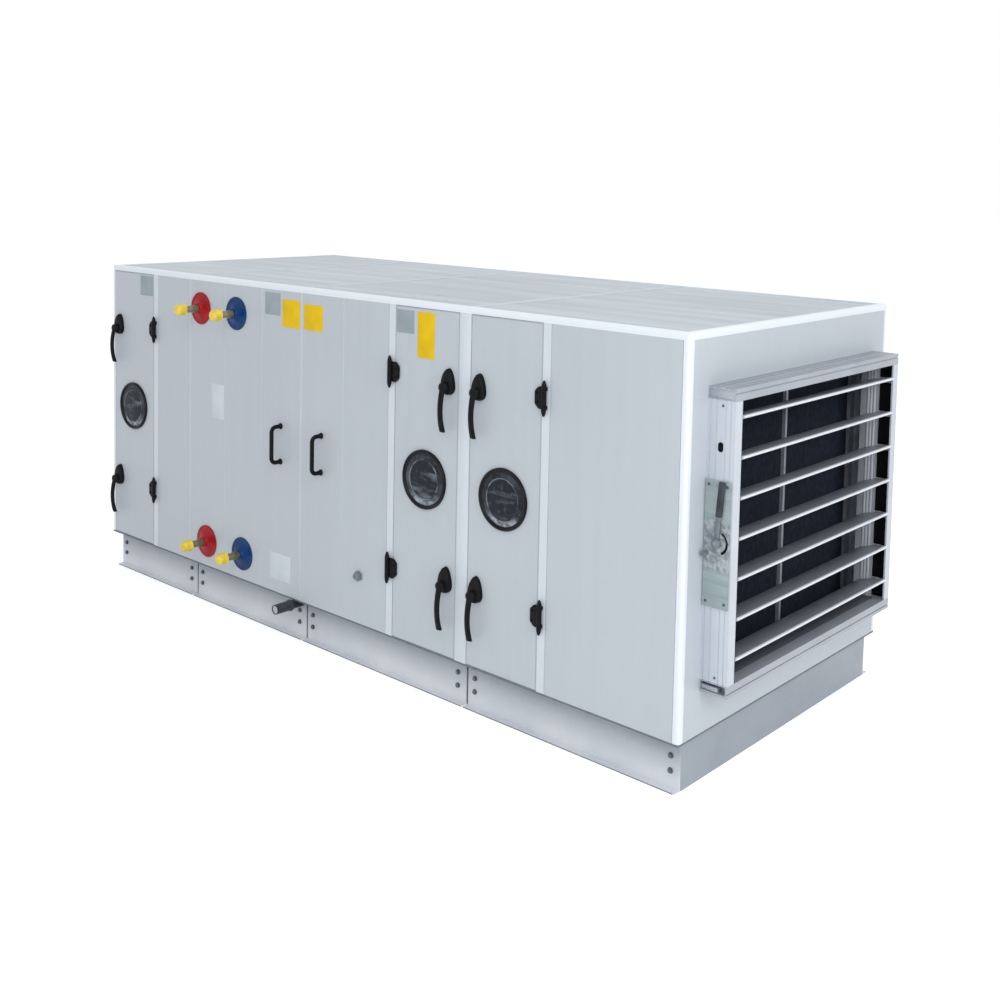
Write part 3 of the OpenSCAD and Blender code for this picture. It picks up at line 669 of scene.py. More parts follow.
@dataclass
class Workpiece:
    """A mesh in the making, drawn with bmesh operators."""

    grid: Grid
    bm: BMesh = field(default_factory=bmesh.new)

    def fresh(self, before: set[BMVert]) -> list[BMVert]:
        """Vertices that were added since a snapshot."""
        return [v for v in self.bm.verts if v not in before]

    def square_up(self, before: set[BMVert]) -> None:
        """Turns the faces that were added since a snapshot outwards."""
        bmesh.ops.recalc_face_normals(self.bm, faces=faces_of(self.fresh(before)))

    def settle(self, verts: list[BMVert], place: Triple, facing: Facing) -> None:
        """Turns vertices drawn along +z to face a direction, and moves them.

        Args:
            verts: Vertices to move.
            place: Place that their origin takes, in casing millimetres.
            facing: Direction that their +z takes.
        """
        turn = Facing.UP.vector().rotation_difference(facing.vector()).to_matrix().to_4x4()
        move = Matrix.Translation(self.grid.at(*place))
        bmesh.ops.transform(self.bm, matrix=move @ turn, verts=verts)

    def soften(
        self, verts: list[BMVert], offset_mm: float, steps: int, crease: float = 30.0
    ) -> None:
        """Rounds the sharp edges between some vertices.

        Args:
            verts: Vertices whose edges are rounded.
            offset_mm: Size of the rounding.
            steps: Segments across it.
            crease: Edges that turn more than this are sharp.
        """
        limit = math.radians(crease)
        edges = [e for e in edges_of(verts) if e.is_manifold]
        self.bevel([e for e in edges if e.calc_face_angle(0.0) > limit], offset_mm, steps)

    def bevel(self, edges: list[BMEdge], offset_mm: float, steps: int) -> None:
        """Rounds edges by an offset, with some segments across."""
        bmesh.ops.bevel(
            self.bm,
            geom=edges,
            offset=offset_mm * MM,
            offset_type="OFFSET",
            segments=steps,
            profile=0.5,
            affect="EDGES",
            clamp_overlap=True,
            material=-1,
        )

    def shrink(self, verts: list[BMVert], by: Triple) -> None:
        """Scales vertices about their middle."""
        middle = sum((v.co for v in verts), Vector()) / len(verts)
        bmesh.ops.scale(self.bm, vec=by, space=Matrix.Translation(-middle), verts=verts)

    def block(self, low: Triple, high: Triple, round_mm: float = 0.0, steps: int = 2) -> None:
        """Adds a box between two places, with rounded edges.

        Args:
            low: Lowest corner in casing millimetres.
            high: Highest corner.
            round_mm: Rounding of its edges.
            steps: Segments across the rounding.
        """
        made = bmesh.ops.create_cube(self.bm, size=1.0)["verts"]
        a, b = self.grid.at(*low), self.grid.at(*high)
        bmesh.ops.scale(self.bm, vec=b - a, verts=made)
        bmesh.ops.translate(self.bm, vec=(a + b) / 2, verts=made)
        if round_mm > 0.0:
            self.soften(made, round_mm, steps)

    def twins(self, low: Triple, high: Triple, round_mm: float) -> None:
        """Adds a box and its mirror image on the unit's other long side.

        Args:
            low: Lowest corner in casing millimetres.
            high: Highest corner.
            round_mm: Rounding of their edges.
        """
        across = self.grid.plan.depth
        self.block(low, high, round_mm)
        (x0, y0, z0), (x1, y1, z1) = low, high
        self.block((x0, across - y1, z0), (x1, across - y0, z1), round_mm)

    def turned(
        self, profile: Profile, place: Triple, steps: int, facing: Facing = Facing.FRONT
    ) -> None:
        """Turns a profile about an axis.

        Args:
            profile: Pairs of radius and height in millimetres.
            place: Place of the axis at height 0, in casing millimetres.
            steps: Segments round the axis.
            facing: Direction of the axis.
        """
        before = set(self.bm.verts)
        rim = [self.bm.verts.new((r * MM, 0.0, h * MM)) for r, h in profile]
        edges = [self.bm.edges.new(pair) for pair in zip(rim, rim[1:])]
        bmesh.ops.spin(
            self.bm,
            geom=rim + edges,
            cent=(0.0, 0.0, 0.0),
            axis=Facing.UP.value,
            angle=math.tau,
            steps=steps,
            use_merge=True,
        )
        bmesh.ops.remove_doubles(self.bm, verts=self.fresh(before), dist=MERGE)
        self.square_up(before)
        self.settle(self.fresh(before), place, facing)

    def disc(
        self,
        across: float,
        thick: float,
        place: Triple,
        facing: Facing,
        sides: int,
        round_mm: float,
    ) -> list[BMVert]:
        """Adds a round or many-sided disc that stands on its foot.

        Args:
            across: Diameter over its corners in millimetres.
            thick: Height.
            place: Centre of its foot, in casing millimetres.
            facing: Direction in which it stands.
            sides: Number of sides.
            round_mm: Rounding of its edges.

        Returns:
            The disc's vertices.
        """
        before = set(self.bm.verts)
        made = bmesh.ops.create_cone(
            self.bm,
            cap_ends=True,
            segments=sides,
            radius1=across / 2 * MM,
            radius2=across / 2 * MM,
            depth=thick * MM,
        )["verts"]
        bmesh.ops.translate(self.bm, vec=(0.0, 0.0, thick / 2 * MM), verts=made)
        self.soften(made, round_mm, 2, 50.0)
        made = self.fresh(before)
        self.settle(made, place, facing)
        return made

    def bolt(self, place: Triple, facing: Facing = Facing.FRONT, across: float = 14.0) -> None:
        """Adds a hexagon head on its washer.

        Args:
            place: Centre of its foot, in casing millimetres.
            facing: Direction in which it stands.
            across: Diameter of the head over its corners.
        """
        washer = 1.5
        self.disc(across * 1.35, washer, place, facing, 24, 0.4)
        lifted = tuple(a + washer * b for a, b in zip(place, facing.value))
        self.disc(across, across * 0.42, lifted, facing, 6, 0.8)

    def screw(self, place: Triple, across: float = 9.0) -> None:
        """Adds a domed screw head with a socket in it.

        Args:
            place: Centre of its foot, in casing millimetres.
            across: Diameter of the head.
        """
        socket = [(0, 0.25), (0.42, 0.25), (0.46, 0.7)]
        dome = [(0.8, 0.55), (1.0, 0.1), (1.0, 0.0), (0, 0)]
        self.turned([(a * across / 2, b * across / 2) for a, b in socket + dome], place, 16)

    def ring_of(self, radius_mm: float, segments: int) -> tuple[list[BMVert], list[BMEdge]]:
        """Adds an open ring in the xy plane, from which a bar is drawn."""
        made = bmesh.ops.create_circle(self.bm, segments=segments, radius=radius_mm * MM)["verts"]
        return made, edges_of(made)

    def grow(self, faces: list[BMFace], by: Triple) -> tuple[list[BMVert], list[BMFace]]:
        """Draws faces out in a straight line.

        Args:
            faces: Faces that are drawn out.
            by: Way that they go, in metres.

        Returns:
            Vertices and faces of the new end.
        """
        made = bmesh.ops.extrude_face_region(self.bm, geom=faces)["geom"]
        verts = only(BMVert, made)
        bmesh.ops.translate(self.bm, vec=by, verts=verts)
        return verts, only(BMFace, made)

    def pull(self, edges: list[BMEdge], by: Triple) -> tuple[list[BMVert], list[BMEdge]]:
        """Draws a bar on from its last ring in a straight line.

        Args:
            edges: Edges of the ring.
            by: Way that they go, in metres.

        Returns:
            Vertices and edges of the new last ring.
        """
        made = bmesh.ops.extrude_edge_only(self.bm, edges=edges)["geom"]
        verts = only(BMVert, made)
        bmesh.ops.translate(self.bm, vec=by, verts=verts)
        return verts, [e for e in only(BMEdge, made) if all(v in verts for v in e.verts)]

    def bend(
        self,
        ring: tuple[list[BMVert], list[BMEdge]],
        centre: Vector,
        axis: Vector,
        degrees: float,
        steps: int,
    ) -> tuple[list[BMVert], list[BMEdge]]:
        """Draws a bar on from its last ring round a bend.

        Args:
            ring: Vertices and edges of the ring.
            centre: Centre of the bend.
            axis: Axis of the bend.
            degrees: Angle of the bend.
            steps: Segments in the bend.

        Returns:
            Vertices and edges of the new last ring.
        """
        last = bmesh.ops.spin(
            self.bm,
            geom=ring[0] + ring[1],
            cent=centre,
            axis=axis,
            angle=math.radians(degrees),
            steps=steps,
            use_merge=False,
        )["geom_last"]
        return only(BMVert, last), only(BMEdge, last)

    def close(self, before: set[BMVert]) -> None:
        """Closes the open ends of a bar that was begun after a snapshot.

        Args:
            before: Vertices at the snapshot.
        """
        bmesh.ops.remove_doubles(self.bm, verts=self.fresh(before), dist=MERGE)
        ends = [e for e in edges_of(self.fresh(before)) if e.is_boundary]
        bmesh.ops.holes_fill(self.bm, edges=ends, sides=0)
        self.square_up(before)

    def done(
        self,
        name: str,
        finish: Finish,
        body: str = "casing",
        node: str = "",
        crease: float = 32.0,
    ) -> None:
        """Makes the object of a finished mesh.

        Args:
            name: Name of the piece.
            finish: Its finish.
            body: CAD body that it rides on.
            node: CAD node that it replaces, if any.
            crease: Edges that turn more than this stay sharp.
        """
        limit = math.radians(crease)
        for face in self.bm.faces:
            face.smooth = True
        for edge in self.bm.edges:
            edge.smooth = edge.is_manifold and edge.calc_face_angle(0.0) < limit
        mesh = bpy.data.meshes.new(name)
        self.bm.to_mesh(mesh)
        self.bm.free()
        mesh.materials.append(finish.material())
        piece = bpy.data.objects.new(name, mesh)
        bpy.context.scene.collection.objects.link(piece)
        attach(piece, body)
        if node:
            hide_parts(node)
        LOG.info("piece %s: %d faces on %s", name, len(mesh.polygons), body)


@dataclass
class Stage:
    """Camera, floor, lamps and world."""

    eye: Triple = (3.3983, -3.5134, 1.7958)
    azimuth: float = 41.769
    pitch: float = 4.0
    roll: float = 1.128
    lens: float = 44.371
    sensor: float = 36.0
    shift_y: float = -0.2395
    sky: float = 0.67
    sky_colour: tuple[float, ...] = (0.97, 0.985, 1.0, 1.0)
    glow: float = 0.4
    floor_size: float = 60.0
    floor_colour: tuple[float, ...] = (0.93, 0.935, 0.94, 1.0)

    def build(self) -> None:
        """Builds everything that isn't part of the unit."""
        self.camera()
        self.floor()
        self.world()
        self.lamp("front_lamp", (4.0, -4.8, 4.6), (0.6, 0.0, 0.7), 4.0, 122.0)
        self.lamp("end_lamp", (7.0, -2.0, 3.6), (1.5, 0.1, 0.7), 3.5, 120.0)
        self.lamp("roof_lamp", (-0.5, 2.0, 6.5), (0.0, 0.0, 1.2), 4.5, 36.0)
        bpy.context.scene.view_settings.view_transform = "Standard"

    def camera(self) -> None:
        """Sets the camera at the photograph's viewing angle."""
        a, e, r = (math.radians(v) for v in (self.azimuth, self.pitch, self.roll))
        ahead = Vector((-math.sin(a) * math.cos(e), math.cos(a) * math.cos(e), -math.sin(e)))
        level = Vector((math.cos(a), math.sin(a), 0.0))
        upward = level.cross(ahead)
        right = math.cos(r) * level + math.sin(r) * upward
        up = -math.sin(r) * level + math.cos(r) * upward
        data = bpy.data.cameras.new("camera")
        data.lens = self.lens
        data.sensor_width = self.sensor
        data.shift_y = self.shift_y
        data.clip_end = 200.0
        camera = bpy.data.objects.new("camera", data)
        turn = Matrix((right, up, -ahead)).transposed().to_4x4()
        camera.matrix_world = Matrix.Translation(self.eye) @ turn
        bpy.context.scene.collection.objects.link(camera)
        bpy.context.scene.camera = camera

    def floor(self) -> None:
        """Lays a plain white floor."""
        bm = bmesh.new()
        bmesh.ops.create_grid(bm, x_segments=1, y_segments=1, size=self.floor_size)
        mesh = bpy.data.meshes.new("floor")
        bm.to_mesh(mesh)
        bm.free()
        tree = Tree("floor_white")
        tree.set(Base_Color=self.floor_colour, Roughness=0.9, Specular_IOR_Level=0.1)
        shine = tree.reckon("MULTIPLY", self.seen(tree), self.glow)
        tree.set(Emission_Color=WHITE, Emission_Strength=shine)
        mesh.materials.append(tree.material)
        floor = bpy.data.objects.new("floor", mesh)
        bpy.context.scene.collection.objects.link(floor)

    def seen(self, tree: Nodes) -> Socket:
        """Tells rays that end in the picture from those that carry light.

        Args:
            tree: Tree that asks.

        Returns:
            Output that is 1 for camera, glossy and transmission rays.
        """
        path = tree.add("LightPath").outputs
        seen = path["Is Camera Ray"]
        for name in ("Is Glossy Ray", "Is Transmission Ray"):
            seen = tree.reckon("MAXIMUM", seen, path[name])
        return seen

    def world(self) -> None:
        """Makes a plain sky that the camera and reflections see as white."""
        world = bpy.data.worlds.new("sky")
        world.use_nodes = True
        tree = Nodes(world.node_tree)
        soft = tree.nodes["Background"]
        tree.fill(soft, {"Color": self.sky_colour, "Strength": self.sky})
        white = tree.add("Background", Color=WHITE, Strength=1.0)
        choose = tree.add("MixShader", self.seen(tree), soft.outputs[0], white.outputs[0])
        tree.feed(tree.nodes["World Output"].inputs["Surface"], choose.outputs[0])
        bpy.context.scene.world = world

    def lamp(self, name: str, place: Triple, target: Triple, size: float, watts: float) -> None:
        """Hangs a large soft lamp.

        Args:
            name: Name of the lamp.
            place: Where it hangs, in metres.
            target: Where it points.
            size: Side of its square.
            watts: Its power.
        """
        data = bpy.data.lights.new(name, "AREA")
        data.size = size
        data.energy = watts
        lamp = bpy.data.objects.new(name, data)
        lamp.location = place
        aim = Vector(target) - Vector(place)
        lamp.rotation_euler = aim.to_track_quat("-Z", "Y").to_euler()
        bpy.context.scene.collection.objects.link(lamp)


@dataclass
class Assembly:
    """A sub-assembly of the unit."""

    grid: Grid

    @property
    def plan(self) -> Layout:
        """Driving sizes of the casing."""
        return self.grid.plan

    def dress(self, finish: Finish, *nodes: str) -> None:
        """Gives a finish to CAD nodes.

        Args:
            finish: The finish.
            nodes: Names of the nodes.
        """
        for node in nodes:
            data = self.grid.nodes[node].data
            data.materials.clear()
            data.materials.append(finish.material())
            LOG.info("node %s: %s", node, finish.name)


@dataclass
class BaseFrame(Assembly):
    """Galvanised rails under the casing, with their bolts and a dark strip under the casing's rim
    as painted shade.
    """

    web: float = 40.0
    end_web: float = 18.0
    flange: float = 26.0
    sheet: float = 4.0
    end_bolt: float = 50.0
    beside: tuple[float, float] = (-44.0, 35.0)
    rows: tuple[float, float] = (-58.0, -104.0)
    shadow_h: float = 8.0
    shadow_w: float = 14.0
    shadow_in: float = 1.5
    cut_gap: float = 5.0

    def build(self) -> None:
        """Dresses the rails and adds bolts, a painted shade strip under the rim, and cut edges
        partly in painted shade.
        """
        self.dress(RAIL, "base_front_rail", "base_back_rail")
        self.dress(END_RAIL, "base_end_rails", "base_cross_rails")
        self.bolts()
        self.sole_shadow()
        self.cut_edges_and_shade()

    def bolts(self) -> None:
        """Sets the bolts that join the sections' rails."""
        places = [x + by for x in self.plan.joints for by in self.beside]
        places += [self.end_bolt, self.plan.length - self.end_bolt]
        work = Workpiece(self.grid)
        for x in places:
            for z in self.rows:
                work.bolt((x, self.web, z))
                work.bolt((x, self.plan.depth - self.web, z), Facing.BACK)
        work.done("base_bolts", BOLT)

    def sole_shadow(self) -> None:
        """Lays a dark strip under the rim of the casing's floor: painted shade of the shadow line
        there.
        """
        work = Workpiece(self.grid)
        x0, x1 = self.shadow_in, self.plan.length - self.shadow_in
        y0, y1 = self.shadow_in, self.shadow_in + self.shadow_w
        low, high = -self.shadow_h, -0.1
        work.twins((x0, y0, low), (x1, y1, high), 1.0)
        for a, b in ((x0, x0 + self.shadow_w), (x1 - self.shadow_w, x1)):
            work.block((a, y1, low), (b, self.plan.depth - y1, high), 1.0)
        work.done("sole_shadow_strips", SOLE_SHADOW)

    def cut_edges_and_shade(self) -> None:
        """Draws a darker strip on the front edge of the long rails' feet: the bare cut edge,
        darkened as painted shade.
        """
        work = Workpiece(self.grid)
        end = self.end_web + 2.0
        cuts = [end, *self.plan.joints, self.plan.length - end]
        low, high = 0.2 - self.plan.base, self.sheet - 0.3 - self.plan.base
        y = self.web - self.flange
        for a, b in zip(cuts, cuts[1:]):
            work.twins((a + self.cut_gap, y - 0.6, low), (b - self.cut_gap, y + 0.2, high), 0.2)
        work.done("rail_cut_edges_and_shade", CUT_EDGE_AND_SHADE)


@dataclass
class Casing(Assembly):
    """Panels, edge profiles and uprights, with their seams."""

    seam: float = 3.0
    strip: float = 5.0
    joint_strip: float = 11.0
    proud: float = 0.7
    clear: float = 0.5
    cover_in: float = 2.5
    roof_strip: float = 34.0
    roof_drop: float = 3.0
    roof_cap: float = 1.2

    def build(self) -> None:
        """Dresses the casing and covers its seams."""
        self.dress(PANEL, "front_panels", "coil_panels", "access_panels", "back_panels")
        self.dress(PANEL, "left_end_panels", "right_end_panels")
        self.dress(ROOF, "roof_panels")
        self.dress(ZINC, "floor_panels")
        self.dress(EDGE, "corner_posts", "roof_edge_long", "roof_edge_short")
        self.dress(UPRIGHT, "front_uprights")
        plan = self.plan
        between = [plan.panel_x(i) for i in range(1, plan.panels)]
        self.seams("front_seam_strips", between, 0.0, 1.0)
        self.joint_cover()
        ends = [plan.wall, *plan.joints, plan.length - plan.wall]
        middles = [(a + b) / 2 for a, b in zip(ends, ends[1:])]
        self.seams("back_seam_strips", [*plan.joints, *middles], plan.depth, -1.0)
        self.roof_joints()

    def seams(self, name: str, places: list[float], face: float, inward: float) -> None:
        """Fills the seams of a wall and lays a pale cover strip on each.

        Args:
            name: Name of the piece.
            places: Places of the seams along the unit.
            face: Outer face of the wall.
            inward: 1 where the wall lies behind its face, -1 where it lies before it.
        """
        low, high = self.clear, self.plan.wall_top - self.clear
        inner = sorted((face + inward * 0.2, face + inward * (self.plan.wall - 1.0)))
        outer = sorted((face, face - inward * self.proud))
        work = Workpiece(self.grid)
        for x in places:
            half = self.seam / 2
            work.block((x - half, inner[0], low), (x + half, inner[1], high))
            half = (self.joint_strip if x in self.plan.joints else self.strip) / 2
            work.block((x - half, outer[0], low), (x + half, outer[1], high), 0.3)
        work.done(name, SEAM)

    def joint_cover(self) -> None:
        """Covers the section joint in the wide upright between two doors."""
        half = self.plan.joint_upright / 2 - self.cover_in
        x, top = self.plan.joints[2], self.plan.wall_top - self.clear
        work = Workpiece(self.grid)
        work.block((x - half, -self.proud, self.clear), (x + half, 0.0, top), 0.3)
        work.done("joint_upright_cover", UPRIGHT)

    def roof_joints(self) -> None:
        """Covers the section joints on the roof."""
        work = Workpiece(self.grid)
        low, half = self.plan.height - self.roof_drop - 0.2, self.roof_strip / 2
        y = self.plan.wall + 1.0
        for x in self.plan.joints:
            far = (x + half, self.plan.depth - y, low + self.roof_cap)
            work.block((x - half, y, low), far, 0.4)
        work.done("roof_joint_caps", SEAM)


@dataclass
class Door(Assembly):
    """One hinged door with its window, latches, hinges and lip."""

    number: int
    hung: Hand
    gap: float = 5.0
    lip_y: tuple[float, float] = (0.8, 3.6)
    lip_out: float = 3.5
    window_z: float = 590.0
    window_r: float = 102.5
    window_proud: float = 11.0
    pane_r: float = 68.0
    hinge_z: tuple[float, float] = (246.0, 943.0)
    hinge_len: float = 115.0
    hinge_r: float = 8.0
    hinge_off: float = 12.0
    hinge_tip: float = 22.0
    hinge_plate: float = 5.0
    hinge_grip: float = 20.0
    latch_z: tuple[tuple[str, float], ...] = (("low", 250.0), ("high", 925.0))
    latch_inset: float = 44.0
    base_r: float = 28.0
    base_tip: float = 62.0
    base_h: float = 22.0
    base_steps: tuple[tuple[float, float], ...] = ((0.55, 0.97), (0.35, 0.88), (0.10, 0.72))
    hub_r: float = 18.0
    hub_h: float = 18.0
    lever_drop: float = 146.0
    lever_bow: float = 12.0
    lever_w: float = 23.0
    lever_t: float = 15.0
    lever_steps: int = 16

    @property
    def body(self) -> str:
        """Name of the door's CAD body."""
        return f"door_{self.number}"

    @property
    def x(self) -> float:
        """Left side of the door's opening."""
        return self.plan.door_x[self.number - 1]

    @property
    def width(self) -> float:
        """Width of the door's opening."""
        return self.plan.door_w

    @property
    def hinge_x(self) -> float:
        """Place of the hinge axis along the front."""
        beside = self.plan.upright / 2
        return self.x - beside if self.hung is Hand.LEFT else self.x + self.width + beside

    @property
    def latch_x(self) -> float:
        """Place of the latches along the front."""
        inset = self.latch_inset
        return self.x + (self.width - inset if self.hung is Hand.LEFT else inset)

    @property
    def knuckle(self) -> float:
        """Half the height of the hinge's middle knuckle."""
        return self.hinge_len * 0.2

    def build(self) -> None:
        """Builds the door's pieces."""
        self.dress(PANEL, f"{self.body}_leaf")
        self.lip()
        self.window()
        self.fittings()
        for name, z in self.latch_z:
            self.lever(name, z)

    def lip(self) -> None:
        """Folds a thin lip round the leaf, just behind its face."""
        work = Workpiece(self.grid)
        out, (near, far) = self.lip_out, self.lip_y
        x0, x1 = self.x + self.gap, self.x + self.width - self.gap
        z0, z1 = self.gap, self.plan.wall_top - self.gap
        for a, b, low, high in (
            (x0 - out, x0, z0 - out, z1 + out),
            (x1, x1 + out, z0 - out, z1 + out),
            (x0, x1, z0 - out, z0),
            (x0, x1, z1, z1 + out),
        ):
            work.block((a, near, low), (b, far, high), 0.4)
        work.done(f"{self.body}_lip", LIP, self.body)

    def window(self) -> None:
        """Builds the inspection window: rim, band, bead and pane."""
        name = f"{self.body}_window"
        for part, finish, profile, steps, node, crease in (
            ("rim", RIM, self.rim_profile(), 96, name, MOULDED),
            ("band", BAND, self.band_profile(), 96, "", MOULDED),
            ("bead", BEAD, self.bead_profile(), 96, "", 60.0),
            ("pane", GLASS, self.pane_profile(), 72, "", 32.0),
        ):
            work = Workpiece(self.grid)
            work.turned(profile, (self.x + self.width / 2, 0.0, self.window_z), steps)
            work.done(f"{name}_{part}", finish, self.body, node, crease)

    def rim_profile(self) -> Profile:
        """Section of the black rim that holds the window in the leaf.

        Returns:
            Pairs of radius and height.
        """
        r, top, deep = self.window_r, self.window_proud, -self.plan.wall
        outside = [(r - 14, deep), (r - 10, deep), (r - 10, 0), (r, 0), (r, top - 5)]
        crown = [(r - 1.2, top - 1.8), (r - 3.6, top), (r - 6.5, top), (r - 8.5, top - 1.2)]
        return [*outside, *crown, (r - 9.4, top - 4), (r - 14, top - 7), (r - 14, deep)]

    def band_profile(self) -> Profile:
        """Section of the band between the rim and the pane.

        Returns:
            Pairs of radius and height.
        """
        r, top, deep = self.window_r - 13.5, self.window_proud, 0.5 - self.plan.wall
        inner = self.pane_r
        slope = [(r, top - 7.4), (r - 2.5, top - 7.8), (inner + 8, top - 7.0)]
        lip = [(inner + 2, top - 6.0), (inner, top - 6.4), (inner, deep)]
        return [(r, deep), *slope, *lip, (r, deep)]

    def bead_profile(self) -> Profile:
        """Section of the bright bead round the pane.

        Returns:
            Pairs of radius and height.
        """
        r = self.pane_r
        outer = [(r + 1.2, 4.4), (r + 2.6, 6.2), (r + 1.2, 7.8)]
        return [*outer, (r - 1.0, 7.4), (r - 2.0, 5.6), (r - 0.5, 3.6), outer[0]]

    def pane_profile(self) -> Profile:
        """Section of the slightly domed pane.

        Returns:
            Pairs of radius and height.
        """
        r, deep = self.pane_r + 0.6, 0.5 - self.plan.wall
        dome = [(0, 8.0), (r * 0.4, 7.6), (r * 0.75, 6.6), (r, 5.0)]
        return [*dome, (r, deep), (0, deep)]

    def fittings(self) -> None:
        """Builds the latch bases and the door's halves of the hinges."""
        work = Workpiece(self.grid)
        for z in self.hinge_z:
            self.hinge_leaf(work, z)
        for _, z in self.latch_z:
            self.latch_base(work, z)
        work.done(f"{self.body}_hardware", BLACK, self.body, f"{self.body}_fittings", MOULDED)

    def hinge_leaf(self, work: Workpiece, z: float) -> None:
        """Moulds the door's half of a hinge, which narrows away from its barrel.

        Args:
            work: Workpiece that the half is added to.
            z: Height of the hinge's middle.
        """
        side, r = self.hung.value, self.hinge_r
        tall = self.hinge_len / 2 - self.hinge_tip
        reach = self.plan.upright / 2 + self.gap
        near, knee, far = r + 2.0, reach + 4.0, reach + self.hinge_grip
        back = r - self.hinge_off
        face = back - self.hinge_plate
        upper = [(far, 0.6 * tall), (knee, tall), (near, tall)]
        outline = [(a, -b) for a, b in reversed(upper)] + upper
        self.hinge_slab(work, outline, z, (face, back), 4.0)
        foot = [(min(max(a, reach + 2.0), far - 1.5), 0.95 * b) for a, b in outline]
        self.hinge_slab(work, foot, z, (back - 1.0, 0.0), 0.0)
        high = self.knuckle - 0.4
        a, b = sorted((self.hinge_x + side * 2.0, self.hinge_x + side * (near + 1.0)))
        work.block((a, face, z - high), (b, back, z + high), 0.8)
        half = [(0, high), (r - 0.8, high), (r, high - 0.8)]
        barrel = [(a, -b) for a, b in half] + half[::-1]
        work.turned(barrel, (self.hinge_x, -self.hinge_off, z), 28, Facing.UP)
        for up in (-0.42, 0.42):
            work.screw((self.hinge_x + side * (knee + 7.0), face + 0.2, z + up * tall))

    def hinge_slab(
        self,
        work: Workpiece,
        outline: Profile,
        z: float,
        span: tuple[float, float],
        corner: float,
    ) -> None:
        """Draws a plate with rounded corners and a softened face.

        Args:
            work: Workpiece that the plate is added to.
            outline: Pairs of distance from the hinge's axis and height.
            z: Height of the hinge's middle.
            span: Places of its face and its back.
            corner: Rounding of its corners, or 0 for none.
        """
        side, (front, back) = self.hung.value, span
        before = set(work.bm.verts)
        spots = [self.grid.at(self.hinge_x + side * a, back, z + b) for a, b in outline]
        face = work.bm.faces.new([work.bm.verts.new(spot) for spot in spots])
        work.grow([face], (0.0, (front - back) * MM, 0.0))
        work.square_up(before)
        if corner > 0.0:
            edges = edges_of(work.fresh(before))
            upright = [e for e in edges if abs(e.verts[0].co.y - e.verts[1].co.y) > DEEP_EDGE]
            work.bevel(upright, corner, 4)
            lip = min(v.co.y for v in work.fresh(before)) + MERGE
            edges = edges_of(work.fresh(before))
            work.bevel([e for e in edges if all(v.co.y < lip for v in e.verts)], 1.8, 3)

    def post_hinges(self, work: Workpiece) -> None:
        """Adds the upright's halves of the hinges to a workpiece.

        Args:
            work: Workpiece of all the doors' upright halves.
        """
        r, half, tip = self.hinge_r, self.hinge_len / 2, self.hinge_tip
        knuckle, reach = self.knuckle + SNUG, half - tip
        straight = [(0, knuckle), (r, knuckle), (r, reach), (r * 0.93, half - tip * 0.7)]
        point = [(r * 0.7, half - tip * 0.35), (r * 0.42, half - 1.5), (0, half)]
        foot, x = r * 0.75, self.hinge_x
        for z in self.hinge_z:
            for way in (1, -1):
                profile = [(a, way * b) for a, b in straight + point]
                work.turned(profile, (x, -self.hinge_off, z), 28, Facing.UP)
                low, high = sorted((z + way * knuckle, z + way * reach))
                work.block((x - foot, -self.hinge_off, low), (x + foot, 0.0, high), 0.8)

    def latch_base(self, work: Workpiece, z: float) -> None:
        """Moulds a leaf-shaped latch base with a domed back.

        Args:
            work: Workpiece that the base is added to.
            z: Height of the latch's pivot.
        """
        before = set(work.bm.verts)
        radius = self.base_r * MM
        made = bmesh.ops.create_circle(work.bm, cap_ends=True, segments=48, radius=radius)["verts"]
        for v in made:
            if v.co.y > 0.0:
                rise = v.co.y / radius
                v.co.y = rise * self.base_tip * MM
                v.co.x *= 1.0 - 0.12 * rise
        foot = faces_of(made)
        for height, scale in self.base_steps:
            top, foot = work.grow(foot, (0.0, 0.0, height * self.base_h * MM))
            bmesh.ops.scale(work.bm, vec=(scale, scale, 1.0), verts=top)
        work.square_up(before)
        turn = Matrix.Rotation(math.radians(90.0), 4, "X")
        place = Matrix.Translation(self.grid.at(self.latch_x, 0.0, z))
        bmesh.ops.transform(work.bm, matrix=place @ turn, verts=work.fresh(before))

    def lever(self, name: str, z: float) -> None:
        """Builds a bowed latch lever with its hub.

        Args:
            name: Low or high.
            z: Height of the latch's pivot.
        """
        work = Workpiece(self.grid)
        r, h = self.hub_r, self.hub_h
        hub = [(0, 0), (r, 0), (r, h * 0.55), (r * 0.9, h * 0.8), (r * 0.66, h * 0.95)]
        hub += [(5, h), (4.4, h - 1.5), (0, h - 1.5)]
        work.turned(hub, (self.latch_x, -self.base_h - SNUG, z), 40)
        self.bowed_bar(work, z)
        piece, body = f"{self.body}_handle_{name}", f"{self.body}_latch_{name}"
        work.done(piece, BLACK, body, f"{self.body}_lever_{name}", MOULDED)

